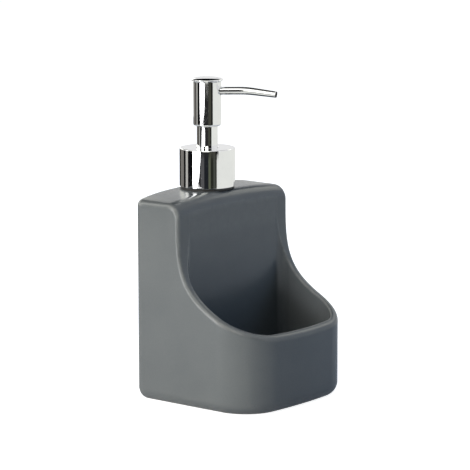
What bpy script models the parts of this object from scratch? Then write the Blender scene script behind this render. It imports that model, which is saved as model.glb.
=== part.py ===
"""Dish soap dispenser with a sponge pocket: one ceramic body and a chrome press pump.

Metres, +Z up, front is -Y. The origin is the middle of the base, on the surface it stands on.
"""

import math

import bmesh
import bpy
import numpy as np
from mathutils import Vector

# Ceramic body, seen from above
BODY_WIDTH = 0.1010
BODY_DEPTH = 0.0914
REAR_BOW = 0.0035
FRONT_BOW = 0.0048
FRONT_NARROWING = 0.0025
FRONT_CORNER_RADIUS = 0.0240
REAR_CORNER_RADIUS = 0.0056
TANK_DEPTH = 0.0330

# Ceramic body, seen from the side
TANK_SIDE_HEIGHT = 0.1168
TOP_CROWN = 0.0040
CROWN_FADE_DEPTH = 0.0300
TOP_FRONT_REACH = 0.0085
TOP_FRONT_DROP = 0.0080
TOP_REAR_RADIUS = 0.0028
BASE_EDGE_RADIUS = 0.0075
RIM_HEIGHT = 0.0440
SWOOP_START_HEIGHT = 0.1050
SWOOP_UPPER_HANDLE_HEIGHT = 0.0710
SWOOP_LOWER_HANDLE_HEIGHT = 0.0622
SWOOP_LOWER_HANDLE_DEPTH = 0.0386
SWOOP_STEPS = 24

# Edges and walls of the body
EDGE_SOFTNESS = 0.0030
POCKET_WALL = 0.0048
POCKET_FLOOR = 0.0060
POCKET_FLOOR_RADIUS = 0.0050
POCKET_REAR_RADIUS = 0.0048
TANK_WALL = 0.0050
TANK_FLOOR = 0.0060
TANK_ROOF = 0.0060
TANK_EDGE_RADIUS = 0.0048
TANK_CORNER_RADIUS = 0.0060
BODY_CELL = 0.0008
BODY_FACE_SHARE = 0.034
CORNER_STEPS = 13
BASE_STEPS = 5
CROWN_STEPS = 25

# Clearance left between separate pieces
GAP = 0.0003
SLIM_GAP = 0.0002

# Pump axis, measured from the rear corner line of the body
PUMP_BACKSET = 0.0126

# Neck joint on top of the tank
SEAT_DEPTH = 0.0007
GASKET_THICKNESS = 0.0012
GASKET_WIDTH = 0.0034
NECK_FLANGE_THICKNESS = 0.0014
NECK_SPIGOT_LENGTH = 0.0080
THREAD_HEIGHT = 0.0009
THREAD_PITCH = 0.0036
THREAD_FOOT_SHARE = 0.26
THREAD_SLOPE_SHARE = 0.62
THREAD_CLEARANCE = 0.0003
NECK_WALL = 0.0026

# Collar and the closure inside it
COLLAR_RADIUS = 0.0164
COLLAR_HEIGHT = 0.0226
COLLAR_EDGE_RADIUS = 0.0006
SHELL_WALL = 0.0008
NUT_WALL = 0.0013
NUT_TOP_THICKNESS = 0.0015
GUIDE_FLANGE_THICKNESS = 0.0012
GUIDE_FLANGE_WIDTH = 0.0024
CYLINDER_FLANGE_THICKNESS = 0.0014
FLANGE_GASKET_THICKNESS = 0.0010

# Guide tube that the head slides over
GUIDE_RADIUS = 0.0062
GUIDE_WALL = 0.0008
STROKE = 0.0120
HEAD_CLEARANCE = 0.0008
GUIDE_COVERED_LENGTH = 0.0024

# Press head
HEAD_RADIUS = 0.0082
HEAD_WALL = 0.0014
HEAD_HEIGHT = 0.0262
HEAD_EDGE_RADIUS = 0.0012
CAP_RADIUS = 0.0093
CAP_RIM = 0.0006
CAP_DOME = 0.0016
CAP_SPIGOT_LENGTH = 0.0016
CORE_BOSS_RADIUS = 0.0048
CORE_BOSS_LENGTH = 0.0105
SPOUT_DROP = 0.0060

# Spout, along its own direction from the pump axis
SPOUT_SWIVEL_DEG = 28.0
SPOUT_ROOT_REACH = 0.0056
SPOUT_BEND_REACH = 0.0235
SPOUT_BEND_LENGTH = 0.0100
SPOUT_TIP_REACH = 0.0409
SPOUT_RISE = 0.0006
SPOUT_TIP_DROP = 0.0019
SPOUT_ROOT_RADIUS = 0.00235
SPOUT_BEND_RADIUS = 0.00230
SPOUT_TIP_RADIUS = 0.00190
SPOUT_WALL = 0.00035
LINER_WALL = 0.00045
LINER_PROTRUSION = 0.0005

# Pump cylinder and its inside
CYLINDER_RADIUS = 0.0070
CYLINDER_WALL = 0.0010
CYLINDER_LENGTH = 0.0500
CYLINDER_CONE_HEIGHT = 0.0040
SPIGOT_RADIUS = 0.0041
SPIGOT_LENGTH = 0.0100
VENT_RADIUS = 0.0007
STEM_RADIUS = 0.0030
STEM_WALL = 0.0009
BUSH_LENGTH = 0.0100
SEAL_THICKNESS = 0.0012
PISTON_HEIGHT = 0.0052
PISTON_LIP = 0.0008
CAGE_THICKNESS = 0.0014
CAGE_LEG_HEIGHT = 0.0058
CAGE_TURN_DEG = 26.0
BALL_RADIUS = 0.0023
BALL_SEAT_RADIUS = 0.0016
SPRING_WIRE_RADIUS = 0.0004
SPRING_RADIUS = 0.0042
SPRING_TURNS = 8.0
DIP_TUBE_RADIUS = 0.0030
DIP_TUBE_WALL = 0.0009
DIP_TUBE_INSERTION = 0.0080
DIP_TUBE_FLOOR_GAP = 0.0035

# Sides of a full turn, and points along arcs and paths
ROUND_STEPS = 48
COLLAR_STEPS = 64
HOLE_STEPS = 40
TUBE_STEPS = 32
BALL_STEPS = 24
SPOUT_STEPS = 20
SPOUT_POINTS = 13
VENT_STEPS = 16
ARC_STEPS = 6
BALL_ARC_STEPS = 11
BALL_ARC_DEG = 75.0
DOME_STEPS = 9
NECK_ROWS = 16
SPRING_SIDES = 6
SPRING_TURN_STEPS = 14
SMOOTH_FACTOR = 0.5
SPRING_SMOOTH_DEG = 60.0

# Levels and centre lines worked out from the sizes above
REAR_LINE_Y = BODY_DEPTH / 2 - REAR_BOW
TANK_FRONT_Y = REAR_LINE_Y - TANK_DEPTH
FRONT_REACH = BODY_DEPTH - REAR_BOW
PUMP_Y = REAR_LINE_Y - PUMP_BACKSET
TOP_Z = TANK_SIDE_HEIGHT + TOP_CROWN
SEAT_Z = TOP_Z - SEAT_DEPTH

SHELL_INNER = COLLAR_RADIUS - SHELL_WALL
NUT_OUTER = SHELL_INNER - GAP
NUT_BORE = NUT_OUTER - NUT_WALL
THREAD_CREST = NUT_BORE - THREAD_CLEARANCE
NECK_RADIUS = THREAD_CREST - THREAD_HEIGHT
NECK_BORE = NECK_RADIUS - NECK_WALL
NECK_HOLE = NECK_RADIUS - NECK_WALL / 4
NECK_SPIGOT = NECK_HOLE - GAP
GASKET_OUTER = SHELL_INNER
GASKET_INNER = GASKET_OUTER - GASKET_WIDTH
SEAT_RADIUS = GASKET_OUTER + GAP

GASKET_Z = SEAT_Z + GAP
NECK_FLANGE_Z = GASKET_Z + GASKET_THICKNESS + GAP
NECK_BODY_Z = NECK_FLANGE_Z + NECK_FLANGE_THICKNESS
COLLAR_Z = NECK_FLANGE_Z
COLLAR_TOP = COLLAR_Z + COLLAR_HEIGHT
GUIDE_Z = COLLAR_TOP - SHELL_WALL - GAP - GUIDE_FLANGE_THICKNESS
NUT_TOP = GUIDE_Z - GAP
NUT_DISC_Z = NUT_TOP - NUT_TOP_THICKNESS
CYLINDER_TOP = NUT_DISC_Z - GAP
CYLINDER_FLANGE_Z = CYLINDER_TOP - CYLINDER_FLANGE_THICKNESS
FLANGE_GASKET_Z = CYLINDER_FLANGE_Z - GAP - FLANGE_GASKET_THICKNESS
NECK_TOP = FLANGE_GASKET_Z - GAP

HEAD_Z = COLLAR_TOP + STROKE + HEAD_CLEARANCE
HEAD_TOP = HEAD_Z + HEAD_HEIGHT
HEAD_INNER = HEAD_RADIUS - HEAD_WALL
GUIDE_INNER = GUIDE_RADIUS - GUIDE_WALL
GUIDE_TOP = HEAD_Z + GUIDE_COVERED_LENGTH
CORE_Z = GUIDE_TOP + STROKE + GAP + GAP
CAP_Z = HEAD_TOP + GAP
CORE_TOP = CAP_Z - CAP_SPIGOT_LENGTH - GAP
CORE_BOSS_Z = CORE_Z - CORE_BOSS_LENGTH
SPOUT_Z = CAP_Z - SPOUT_DROP

CYLINDER_INNER = CYLINDER_RADIUS - CYLINDER_WALL
CYLINDER_BOTTOM = CYLINDER_TOP - CYLINDER_LENGTH
CONE_TOP = CYLINDER_BOTTOM + CYLINDER_CONE_HEIGHT
BUSH_TOP = CYLINDER_TOP - GAP
BUSH_Z = BUSH_TOP - BUSH_LENGTH
SEAL_Z = BUSH_Z - GAP - SEAL_THICKNESS
PISTON_TOP = SEAL_Z - GAP
PISTON_Z = PISTON_TOP - PISTON_HEIGHT
PISTON_RADIUS = CYLINDER_INNER - GAP
STEM_TOP = CORE_Z + GAP
BALL_Z = CONE_TOP + BALL_RADIUS
CAGE_Z = CONE_TOP + CAGE_LEG_HEIGHT
SPRING_Z = CAGE_Z + CAGE_THICKNESS + GAP
SPRING_TOP = PISTON_Z - GAP
DIP_TUBE_TOP = CYLINDER_BOTTOM - SPIGOT_LENGTH + DIP_TUBE_INSERTION
DIP_TUBE_BOTTOM = TANK_FLOOR + DIP_TUBE_FLOOR_GAP


def clear_scene():
    for obj in list(bpy.data.objects):
        bpy.data.objects.remove(obj, do_unlink=True)
    for mesh in list(bpy.data.meshes):
        bpy.data.meshes.remove(mesh)


def material(name, colour, roughness, metallic=0.0):
    made = bpy.data.materials.new(name)
    made.use_nodes = True
    shader = made.node_tree.nodes["Principled BSDF"]
    shader.inputs["Base Color"].default_value = (*colour, 1.0)
    shader.inputs["Roughness"].default_value = roughness
    shader.inputs["Metallic"].default_value = metallic
    made.diffuse_color = (*colour, 1.0)
    return made


def add_object(name, vertices, faces, look=None, smooth_angle_deg=35.0, origin=(0.0, 0.0, 0.0)):
    """A mesh object whose origin is at the given point. Faces are wound to face out."""
    mesh = bpy.data.meshes.new(name)
    shifted = np.asarray(vertices, float) - np.asarray(origin, float)
    mesh.from_pydata(shifted.tolist(), [], [tuple(int(i) for i in face) for face in faces])
    mesh.update()
    work = bmesh.new()
    work.from_mesh(mesh)
    bmesh.ops.recalc_face_normals(work, faces=work.faces[:])
    if work.calc_volume(signed=True) < 0:
        bmesh.ops.reverse_faces(work, faces=work.faces[:])
    limit = math.radians(smooth_angle_deg)
    for face in work.faces:
        face.smooth = True
    for edge in work.edges:
        edge.smooth = not (edge.is_manifold and edge.calc_face_angle(0.0) > limit)
    work.to_mesh(mesh)
    work.free()
    obj = bpy.data.objects.new(name, mesh)
    obj.location = origin
    bpy.context.scene.collection.objects.link(obj)
    if look is not None:
        mesh.materials.append(look)
    return obj


def cutter(obj):
    obj.hide_render = True
    obj.display_type = "WIRE"
    return obj


def cut(obj, other):
    step = obj.modifiers.new("Cut " + other.name, "BOOLEAN")
    step.operation = "DIFFERENCE"
    step.solver = "EXACT"
    step.object = other
    return obj


def arc(centre_r, centre_z, radius, start_deg, end_deg, count):
    """Points (r, z) along an arc, angles from +r towards +z."""
    angles = np.radians(np.linspace(start_deg, end_deg, count))
    return [(centre_r + radius * math.cos(a), centre_z + radius * math.sin(a)) for a in angles]


def lathe(profile, steps, centre=(0.0, 0.0)):
    """Turns a closed profile of (r, z) points about Z. Points on the axis become one vertex each."""
    vertices = []
    rows = []
    for r, z in profile:
        if r <= 0.0:
            rows.append([len(vertices)] * steps)
            vertices.append((centre[0], centre[1], z))
            continue
        rows.append(list(range(len(vertices), len(vertices) + steps)))
        for k in range(steps):
            a = 2 * math.pi * k / steps
            vertices.append((centre[0] + r * math.cos(a), centre[1] + r * math.sin(a), z))
    faces = []
    count = len(profile)
    for i in range(count):
        low, high = rows[i], rows[(i + 1) % count]
        if profile[i][0] <= 0.0 and profile[(i + 1) % count][0] <= 0.0:
            continue
        for k in range(steps):
            n = (k + 1) % steps
            face = []
            for index in (low[k], low[n], high[n], high[k]):
                if index not in face:
                    face.append(index)
            faces.append(face)
    return np.array(vertices), faces


def turned(name, profile, look, steps=ROUND_STEPS, z_origin=None):
    """A turned piece on the pump axis, with its origin on that axis."""
    vertices, faces = lathe(profile, steps, (0.0, PUMP_Y))
    base = min(z for _, z in profile) if z_origin is None else z_origin
    return add_object(name, vertices, faces, look, origin=(0.0, PUMP_Y, base))


def ring(inner, outer, bottom, top):
    return [(inner, bottom), (outer, bottom), (outer, top), (inner, top)]


def tube_along(points, outer, inner, steps, up=Vector((0.0, 0.0, 1.0))):
    """A closed hollow tube along a path that stays in one upright plane."""
    points = [Vector(p) for p in points]
    rings = []
    for i, point in enumerate(points):
        before = points[max(i - 1, 0)]
        after = points[min(i + 1, len(points) - 1)]
        along = (after - before).normalized()
        side = along.cross(up).normalized()
        over = side.cross(along).normalized()
        rings.append((point, side, over))
    vertices = []
    for radii in (outer, inner):
        for (point, side, over), radius in zip(rings, radii):
            for k in range(steps):
                a = 2 * math.pi * k / steps
                vertices.append(point + side * (radius * math.cos(a)) + over * (radius * math.sin(a)))
    count = len(points)
    faces = []
    for i in range(count - 1):
        for k in range(steps):
            n = (k + 1) % steps
            a, b = i * steps, (i + 1) * steps
            faces.append((a + k, a + n, b + n, b + k))
            c, d = (count + i) * steps, (count + i + 1) * steps
            faces.append((c + k, d + k, d + n, c + n))
    for k in range(steps):
        n = (k + 1) % steps
        first, last = 0, (count - 1) * steps
        inside_first, inside_last = count * steps, (2 * count - 1) * steps
        faces.append((first + k, inside_first + k, inside_first + n, first + n))
        faces.append((last + k, last + n, inside_last + n, inside_last + k))
    return np.array([tuple(v) for v in vertices]), faces


def bowed_quarter(half, wall, bow, radius, sign, steps):
    """An outline's corner and half wall, from +X to the middle. sign is +1 at the rear, -1 in front."""
    corner_x = half - radius
    if bow <= 0:
        corner_y = wall - sign * radius
        meet = math.pi / 2
        straight = [(corner_x * (1 - share), wall) for share in np.linspace(0, 1, steps)[1:]]
    else:
        sweep = (half * half + bow * bow) / (2 * bow)
        centre = wall - sign * sweep
        rise = math.sqrt((sweep - radius) ** 2 - corner_x**2)
        corner_y = centre + sign * rise
        meet = math.atan2(rise, corner_x)
        spread = np.linspace(meet, math.pi / 2, steps)[1:]
        straight = [(sweep * math.cos(a), centre + sign * sweep * math.sin(a)) for a in spread]
    turn = np.linspace(0, meet, steps)
    corner = [(corner_x + radius * math.cos(a), corner_y + sign * radius * math.sin(a)) for a in turn]
    return corner + straight


def bowed_outline(half, front, rear, bows, radii, steps):
    """Rounded box seen from above, anticlockwise: front and rear walls are arcs, and corners are round."""
    points = []
    for sign, wall, bow, radius in ((1, rear, bows[1], radii[1]), (-1, front, bows[0], radii[0])):
        right = bowed_quarter(half, wall, bow, radius, sign, steps)
        left = [(-x, y) for x, y in right[-2::-1]]
        run = right + left
        points += run if sign > 0 else run[::-1]
    return [(narrowed(x, y), y) for x, y in points]


def narrowed(x, y):
    """The body's sides draw in a little towards the front."""
    return x * (1 - FRONT_NARROWING / (BODY_WIDTH / 2) * (REAR_LINE_Y - y) / FRONT_REACH)


def loft(rings):
    """A closed solid through rings with the same number of points."""
    count = len(rings[0])
    vertices = [p for ring_points in rings for p in ring_points]
    faces = [tuple(range(count))[::-1]]
    for i in range(len(rings) - 1):
        for k in range(count):
            n = (k + 1) % count
            faces.append((i * count + k, i * count + n, (i + 1) * count + n, (i + 1) * count + k))
    faces.append(tuple(range((len(rings) - 1) * count, len(rings) * count)))
    return vertices, faces


def rounded_foot(radius, low, steps):
    """Insets and heights of the levels that round the bottom edge of an upright wall."""
    angles = np.linspace(0, math.pi / 2, steps)
    return [(radius * (1 - math.sin(a)), low + radius * (1 - math.cos(a))) for a in angles]


def body_block():
    """The body as an upright block with its bowed walls and its rounded foot, before anything is cut."""
    half = BODY_WIDTH / 2
    front, rear = -BODY_DEPTH / 2, BODY_DEPTH / 2
    bows = (FRONT_BOW, REAR_BOW)
    levels = rounded_foot(BASE_EDGE_RADIUS, 0.0, BASE_STEPS) + [(0.0, TOP_Z + TOP_CROWN)]
    rings = []
    for inset, z in levels:
        radii = (FRONT_CORNER_RADIUS - inset, max(REAR_CORNER_RADIUS - inset, REAR_CORNER_RADIUS / 4))
        outline = bowed_outline(half - inset, front + inset, rear - inset, bows, radii, CORNER_STEPS)
        rings.append([(x, y, z) for x, y in outline])
    return loft(rings)


def swoop_line():
    """Side view of the rear edge, tank top, its front edge, tank front and swoop to the rim, as (depth, z)."""
    t = np.linspace(0.0, 1.0, SWOOP_STEPS)[:, None]
    start = np.array([TANK_DEPTH, SWOOP_START_HEIGHT])
    upper = np.array([TANK_DEPTH, SWOOP_UPPER_HANDLE_HEIGHT])
    lower = np.array([SWOOP_LOWER_HANDLE_DEPTH, SWOOP_LOWER_HANDLE_HEIGHT])
    end = np.array([FRONT_REACH, RIM_HEIGHT])
    swoop = (1 - t) ** 3 * start + 3 * t * (1 - t) ** 2 * upper + 3 * t * t * (1 - t) * lower + t**3 * end
    corner = [
        (TANK_DEPTH - TOP_FRONT_REACH * (1 - along), TANK_SIDE_HEIGHT - TOP_FRONT_DROP * (1 - up))
        for along, up in arc(0.0, 0.0, 1.0, 90, 0, CORNER_STEPS)
    ]
    edge = TOP_REAR_RADIUS
    rear = arc(edge, TANK_SIDE_HEIGHT - edge, edge, 180, 90, BASE_STEPS)
    behind = (-TANK_DEPTH, TANK_SIDE_HEIGHT - edge)
    onward = swoop[-1] + (swoop[-1] - swoop[-2]) * 2
    return [behind] + rear + corner + [tuple(p) for p in swoop] + [tuple(onward)]


def crown_rise(x, z):
    """How far the arched top stands over its side edges at this place across, fading out below the top."""
    across = math.sqrt(max(0.0, 1 - (2 * x / BODY_WIDTH) ** 2))
    fade = min(1.0, max(0.0, 1 - (TANK_SIDE_HEIGHT - z) / CROWN_FADE_DEPTH))
    return TOP_CROWN * across * fade * fade * (3 - 2 * fade)


def bowed_depth(x, depth):
    """A depth on the tank top at this place across, so that the line follows the bow of the rear wall."""
    bow = REAR_BOW * max(0.0, 1 - (2 * x / BODY_WIDTH) ** 2)
    return depth - bow * min(1.0, max(0.0, 1 - depth / TANK_DEPTH))


def body_trim():
    """Everything over and in front of the swoop line, with the arched top, as a cutter."""
    line = swoop_line()
    high = TOP_Z + TOP_CROWN * 2
    lid = [(line[-1][0], high), (line[0][0], high)]
    angles = np.linspace(math.pi, 0.0, CROWN_STEPS)
    places = [BODY_WIDTH / 2 * math.cos(a) for a in angles]
    places = [places[0] - TANK_WALL] + places + [places[-1] + TANK_WALL]
    rings = []
    for x in places:
        cut_line = [(x, REAR_LINE_Y - bowed_depth(x, depth), z + crown_rise(x, z)) for depth, z in line]
        rings.append(cut_line + [(x, REAR_LINE_Y - depth, z) for depth, z in lid])
    return loft(rings)


def pocket_room():
    """The sponge pocket in front of the tank, as a cutter, with its rounded floor edge."""
    half = BODY_WIDTH / 2 - POCKET_WALL
    front = -BODY_DEPTH / 2 + POCKET_WALL
    corner = FRONT_CORNER_RADIUS - POCKET_WALL
    levels = rounded_foot(POCKET_FLOOR_RADIUS, POCKET_FLOOR, BASE_STEPS) + [(0.0, TOP_Z + TOP_CROWN * 2)]
    rings = []
    for inset, z in levels:
        radii = (corner - inset, max(POCKET_REAR_RADIUS - inset, POCKET_REAR_RADIUS / 4))
        rear = TANK_FRONT_Y - SLIM_GAP - inset
        outline = bowed_outline(half - inset, front + inset, rear, (FRONT_BOW, 0.0), radii, CORNER_STEPS)
        rings.append([(x, y, z) for x, y in outline])
    return loft(rings)


def tank_room():
    """The soap tank inside the rear of the body, as a cutter rounded along its floor and roof."""
    half = BODY_WIDTH / 2 - TANK_WALL - FRONT_NARROWING
    front = TANK_FRONT_Y + TANK_WALL
    rear = BODY_DEPTH / 2 - TANK_WALL
    edge = TANK_EDGE_RADIUS
    roof = TANK_SIDE_HEIGHT - TANK_ROOF
    foot = rounded_foot(edge, TANK_FLOOR, BASE_STEPS)
    levels = foot + [(inset, TANK_FLOOR + roof - z) for inset, z in foot[::-1]]
    rings = []
    for inset, z in levels:
        radii = (TANK_CORNER_RADIUS - inset, TANK_CORNER_RADIUS - inset)
        outline = bowed_outline(half - inset, front + inset, rear - inset, (0.0, REAR_BOW), radii, BASE_STEPS)
        rings.append([(x, y, z) for x, y in outline])
    return loft(rings)


def neck_way():
    """The hole through the roof of the tank and the shallow seat of the gasket round it, as a cutter."""
    low = TANK_SIDE_HEIGHT - TANK_ROOF - TANK_EDGE_RADIUS
    high = TOP_Z + SEAT_RADIUS
    hole = [(0.0, low), (NECK_HOLE, low), (NECK_HOLE, SEAT_Z)]
    seat = [(SEAT_RADIUS, SEAT_Z), (SEAT_RADIUS, high), (0.0, high)]
    return lathe(hole + seat, ROUND_STEPS, (0.0, PUMP_Y))


def ceramic_body(look):
    """One casting: its edges are softened all over, as glaze does, and then the tank and the neck are cut."""
    body = add_object("ceramic_body", *body_block(), look)
    cut(body, cutter(add_object("trim_cutter", *body_trim())))
    cut(body, cutter(add_object("pocket_cutter", *pocket_room())))
    grid = body.modifiers.new("Even skin", "REMESH")
    grid.mode = "VOXEL"
    grid.voxel_size = BODY_CELL
    grid.use_smooth_shade = True
    soften = body.modifiers.new("Soft edges", "SMOOTH")
    soften.factor = SMOOTH_FACTOR
    soften.iterations = max(1, round((EDGE_SOFTNESS / BODY_CELL) ** 2))
    thin = body.modifiers.new("Fewer faces", "DECIMATE")
    thin.ratio = BODY_FACE_SHARE
    cut(body, cutter(add_object("tank_cutter", *tank_room())))
    cut(body, cutter(add_object("neck_cutter", *neck_way())))


def neck_insert(look):
    """Threaded neck glued into the ceramic: spigot, flange, neck wall and a raised thread around it."""
    steps = ROUND_STEPS
    rows = NECK_ROWS
    spigot_z = SEAT_Z - NECK_SPIGOT_LENGTH
    vertices = []
    start = NECK_BODY_Z + GAP
    length = NECK_TOP - start
    thread_low = start + THREAD_PITCH / 4
    thread_high = NECK_TOP - THREAD_PITCH / 4
    for i in range(rows + 1):
        z = start + length * i / rows
        for k in range(steps):
            turn = k / steps
            phase = ((z - thread_low) / THREAD_PITCH - turn) % 1.0
            bump = max(0.0, 1.0 - abs(phase - 0.5) / THREAD_FOOT_SHARE)
            fade = min(1.0, max(0.0, (z - thread_low) / (THREAD_PITCH / 4)))
            fade = min(fade, max(0.0, (thread_high - z) / (THREAD_PITCH / 4)))
            r = NECK_RADIUS + THREAD_HEIGHT * min(1.0, bump / THREAD_SLOPE_SHARE) * fade
            a = 2 * math.pi * turn
            vertices.append((r * math.cos(a), PUMP_Y + r * math.sin(a), z))
    outline = [
        (NECK_RADIUS, NECK_BODY_Z),
        (THREAD_CREST, NECK_BODY_Z),
        (THREAD_CREST, NECK_FLANGE_Z),
        (NECK_SPIGOT, NECK_FLANGE_Z),
        (NECK_SPIGOT, spigot_z),
        (NECK_BORE, spigot_z),
        (NECK_BORE, NECK_TOP),
    ]
    for r, z in outline:
        for k in range(steps):
            a = 2 * math.pi * k / steps
            vertices.append((r * math.cos(a), PUMP_Y + r * math.sin(a), z))
    order = list(range(rows, -1, -1)) + list(range(rows + 1, rows + 1 + len(outline)))
    faces = []
    for i, low in enumerate(order):
        high = order[(i + 1) % len(order)]
        for k in range(steps):
            n = (k + 1) % steps
            faces.append((low * steps + k, low * steps + n, high * steps + n, high * steps + k))
    return add_object("neck_insert", vertices, faces, look, origin=(0.0, PUMP_Y, NECK_FLANGE_Z))


def spring(look):
    """Round wire coil between the ball cage and the piston, with its end turns closed up."""
    sides = SPRING_SIDES
    per_turn = SPRING_TURN_STEPS
    steps = int(SPRING_TURNS * per_turn)
    low = SPRING_Z + SPRING_WIRE_RADIUS
    high = SPRING_TOP - SPRING_WIRE_RADIUS
    closed_turns = 1.0
    closed_pitch = SPRING_WIRE_RADIUS * 2 + GAP
    open_rise = (high - low) - 2 * closed_turns * closed_pitch
    vertices = []
    for i in range(steps + 1):
        turn = i / per_turn
        if turn < closed_turns:
            z = low + closed_pitch * turn
        elif turn > SPRING_TURNS - closed_turns:
            z = high - closed_pitch * (SPRING_TURNS - turn)
        else:
            share = (turn - closed_turns) / (SPRING_TURNS - 2 * closed_turns)
            z = low + closed_pitch * closed_turns + open_rise * share
        a = 2 * math.pi * turn
        for k in range(sides):
            b = 2 * math.pi * k / sides
            r = SPRING_RADIUS + SPRING_WIRE_RADIUS * math.cos(b)
            vertices.append((r * math.cos(a), PUMP_Y + r * math.sin(a), z + SPRING_WIRE_RADIUS * math.sin(b)))
    faces = [tuple(range(sides)), tuple(range(steps * sides, (steps + 1) * sides))[::-1]]
    for i in range(steps):
        for k in range(sides):
            n = (k + 1) % sides
            faces.append((i * sides + k, i * sides + n, (i + 1) * sides + n, (i + 1) * sides + k))
    origin = (0.0, PUMP_Y, SPRING_Z)
    return add_object("return_spring", vertices, faces, look, SPRING_SMOOTH_DEG, origin)


def spout_path(start_reach, end_reach, count):
    """Points along the middle of the spout: rising a little, then bent down towards the tip."""
    swivel = math.radians(SPOUT_SWIVEL_DEG)
    ahead = (math.sin(swivel), -math.cos(swivel))
    rise = SPOUT_RISE / (SPOUT_BEND_REACH - SPOUT_ROOT_REACH)
    fall = SPOUT_TIP_DROP / (SPOUT_TIP_REACH - SPOUT_BEND_REACH)
    points = []
    for share in np.linspace(0.0, 1.0, count):
        reach = start_reach + (end_reach - start_reach) * share
        past = (reach - SPOUT_BEND_REACH) / SPOUT_BEND_LENGTH
        if past <= -0.5:
            bent = 0.0
        elif past >= 0.5:
            bent = reach - SPOUT_BEND_REACH
        else:
            bent = SPOUT_BEND_LENGTH * (past + 0.5) ** 2 / 2
        z = SPOUT_Z + rise * (reach - SPOUT_ROOT_REACH) - (rise + fall) * bent
        points.append((ahead[0] * reach, PUMP_Y + ahead[1] * reach, z))
    return points


def spout_radius(reach):
    if reach < SPOUT_BEND_REACH:
        share = max(0.0, (reach - SPOUT_ROOT_REACH) / (SPOUT_BEND_REACH - SPOUT_ROOT_REACH))
        return SPOUT_ROOT_RADIUS + (SPOUT_BEND_RADIUS - SPOUT_ROOT_RADIUS) * share
    share = (reach - SPOUT_BEND_REACH) / (SPOUT_TIP_REACH - SPOUT_BEND_REACH)
    return SPOUT_BEND_RADIUS + (SPOUT_TIP_RADIUS - SPOUT_BEND_RADIUS) * share


def spout_tube(name, first, last, inset, wall, look):
    """A tube along the spout's line, its outside drawn in by inset from the spout's own."""
    reaches = np.linspace(first, last, SPOUT_POINTS)
    outer = [spout_radius(r) - inset for r in reaches]
    inner = [r - wall for r in outer]
    points = spout_path(first, last, SPOUT_POINTS)
    vertices, faces = tube_along(points, outer, inner, SPOUT_STEPS)
    add_object(name, vertices, faces, look, origin=(0.0, PUMP_Y, SPOUT_Z))


def spout(chrome, black):
    """The chrome tube and the black tube in it, which comes out a little at the tip."""
    spout_tube("spout", SPOUT_ROOT_REACH, SPOUT_TIP_REACH, 0.0, SPOUT_WALL, chrome)
    first = SPOUT_ROOT_REACH - GAP * 2
    last = SPOUT_TIP_REACH + LINER_PROTRUSION
    spout_tube("spout_liner", first, last, SPOUT_WALL + SLIM_GAP, LINER_WALL, black)


def spout_hole(name, start, end, radius):
    """A straight round cutter along the root of the spout."""
    points = spout_path(start, end, 2)
    axis = Vector(points[1]) - Vector(points[0])
    side = axis.cross(Vector((0.0, 0.0, 1.0))).normalized()
    over = side.cross(axis).normalized()
    steps = HOLE_STEPS
    vertices = []
    for point in points:
        for k in range(steps):
            a = 2 * math.pi * k / steps
            offset = side * (radius * math.cos(a)) + over * (radius * math.sin(a))
            vertices.append(tuple(Vector(point) + offset))
    vertices, faces = loft([vertices[:steps], vertices[steps:]])
    return cutter(add_object(name, vertices, faces))


def head(chrome, white):
    edge = HEAD_EDGE_RADIUS
    root = SPOUT_ROOT_RADIUS + SLIM_GAP
    lower_edge = arc(HEAD_RADIUS - edge, HEAD_Z + edge, edge, -90, 0, ARC_STEPS)
    barrel_profile = [(HEAD_INNER, HEAD_Z)] + lower_edge + [(HEAD_RADIUS, HEAD_TOP), (HEAD_INNER, HEAD_TOP)]
    barrel = turned("head_barrel", barrel_profile, chrome)
    cut(barrel, spout_hole("barrel_cutter", HEAD_INNER - HEAD_WALL, HEAD_RADIUS + HEAD_WALL, root))
    spigot = HEAD_INNER - GAP
    rim_z = CAP_Z + CAP_RIM
    rim = arc(CAP_RADIUS - CAP_RIM, rim_z, CAP_RIM, -90, 0, ARC_STEPS)
    rise = np.linspace(0, math.pi / 2, DOME_STEPS)[1:-1]
    dome = [(CAP_RADIUS * math.cos(a), rim_z + CAP_DOME * math.sin(a)) for a in rise]
    spigot_bottom = CAP_Z - CAP_SPIGOT_LENGTH
    cap_profile = [(0.0, spigot_bottom), (spigot, spigot_bottom), (spigot, CAP_Z)]
    cap_profile += rim + dome + [(0.0, rim_z + CAP_DOME)]
    turned("head_cap", cap_profile, chrome)
    bore = STEM_RADIUS + SLIM_GAP
    core = turned(
        "head_core",
        [
            (bore, CORE_BOSS_Z),
            (CORE_BOSS_RADIUS, CORE_BOSS_Z),
            (CORE_BOSS_RADIUS, CORE_Z),
            (spigot, CORE_Z),
            (spigot, CORE_TOP),
            (0.0, CORE_TOP),
            (0.0, CORE_TOP - CAP_SPIGOT_LENGTH),
            (bore, CORE_TOP - CAP_SPIGOT_LENGTH),
        ],
        white,
    )
    cut(core, spout_hole("core_cutter", SPOUT_ROOT_REACH - GAP * 3, HEAD_RADIUS + HEAD_WALL, root))
    cut(core, spout_hole("passage_cutter", STEM_RADIUS / 2, HEAD_RADIUS, SPOUT_ROOT_RADIUS / 2))


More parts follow.
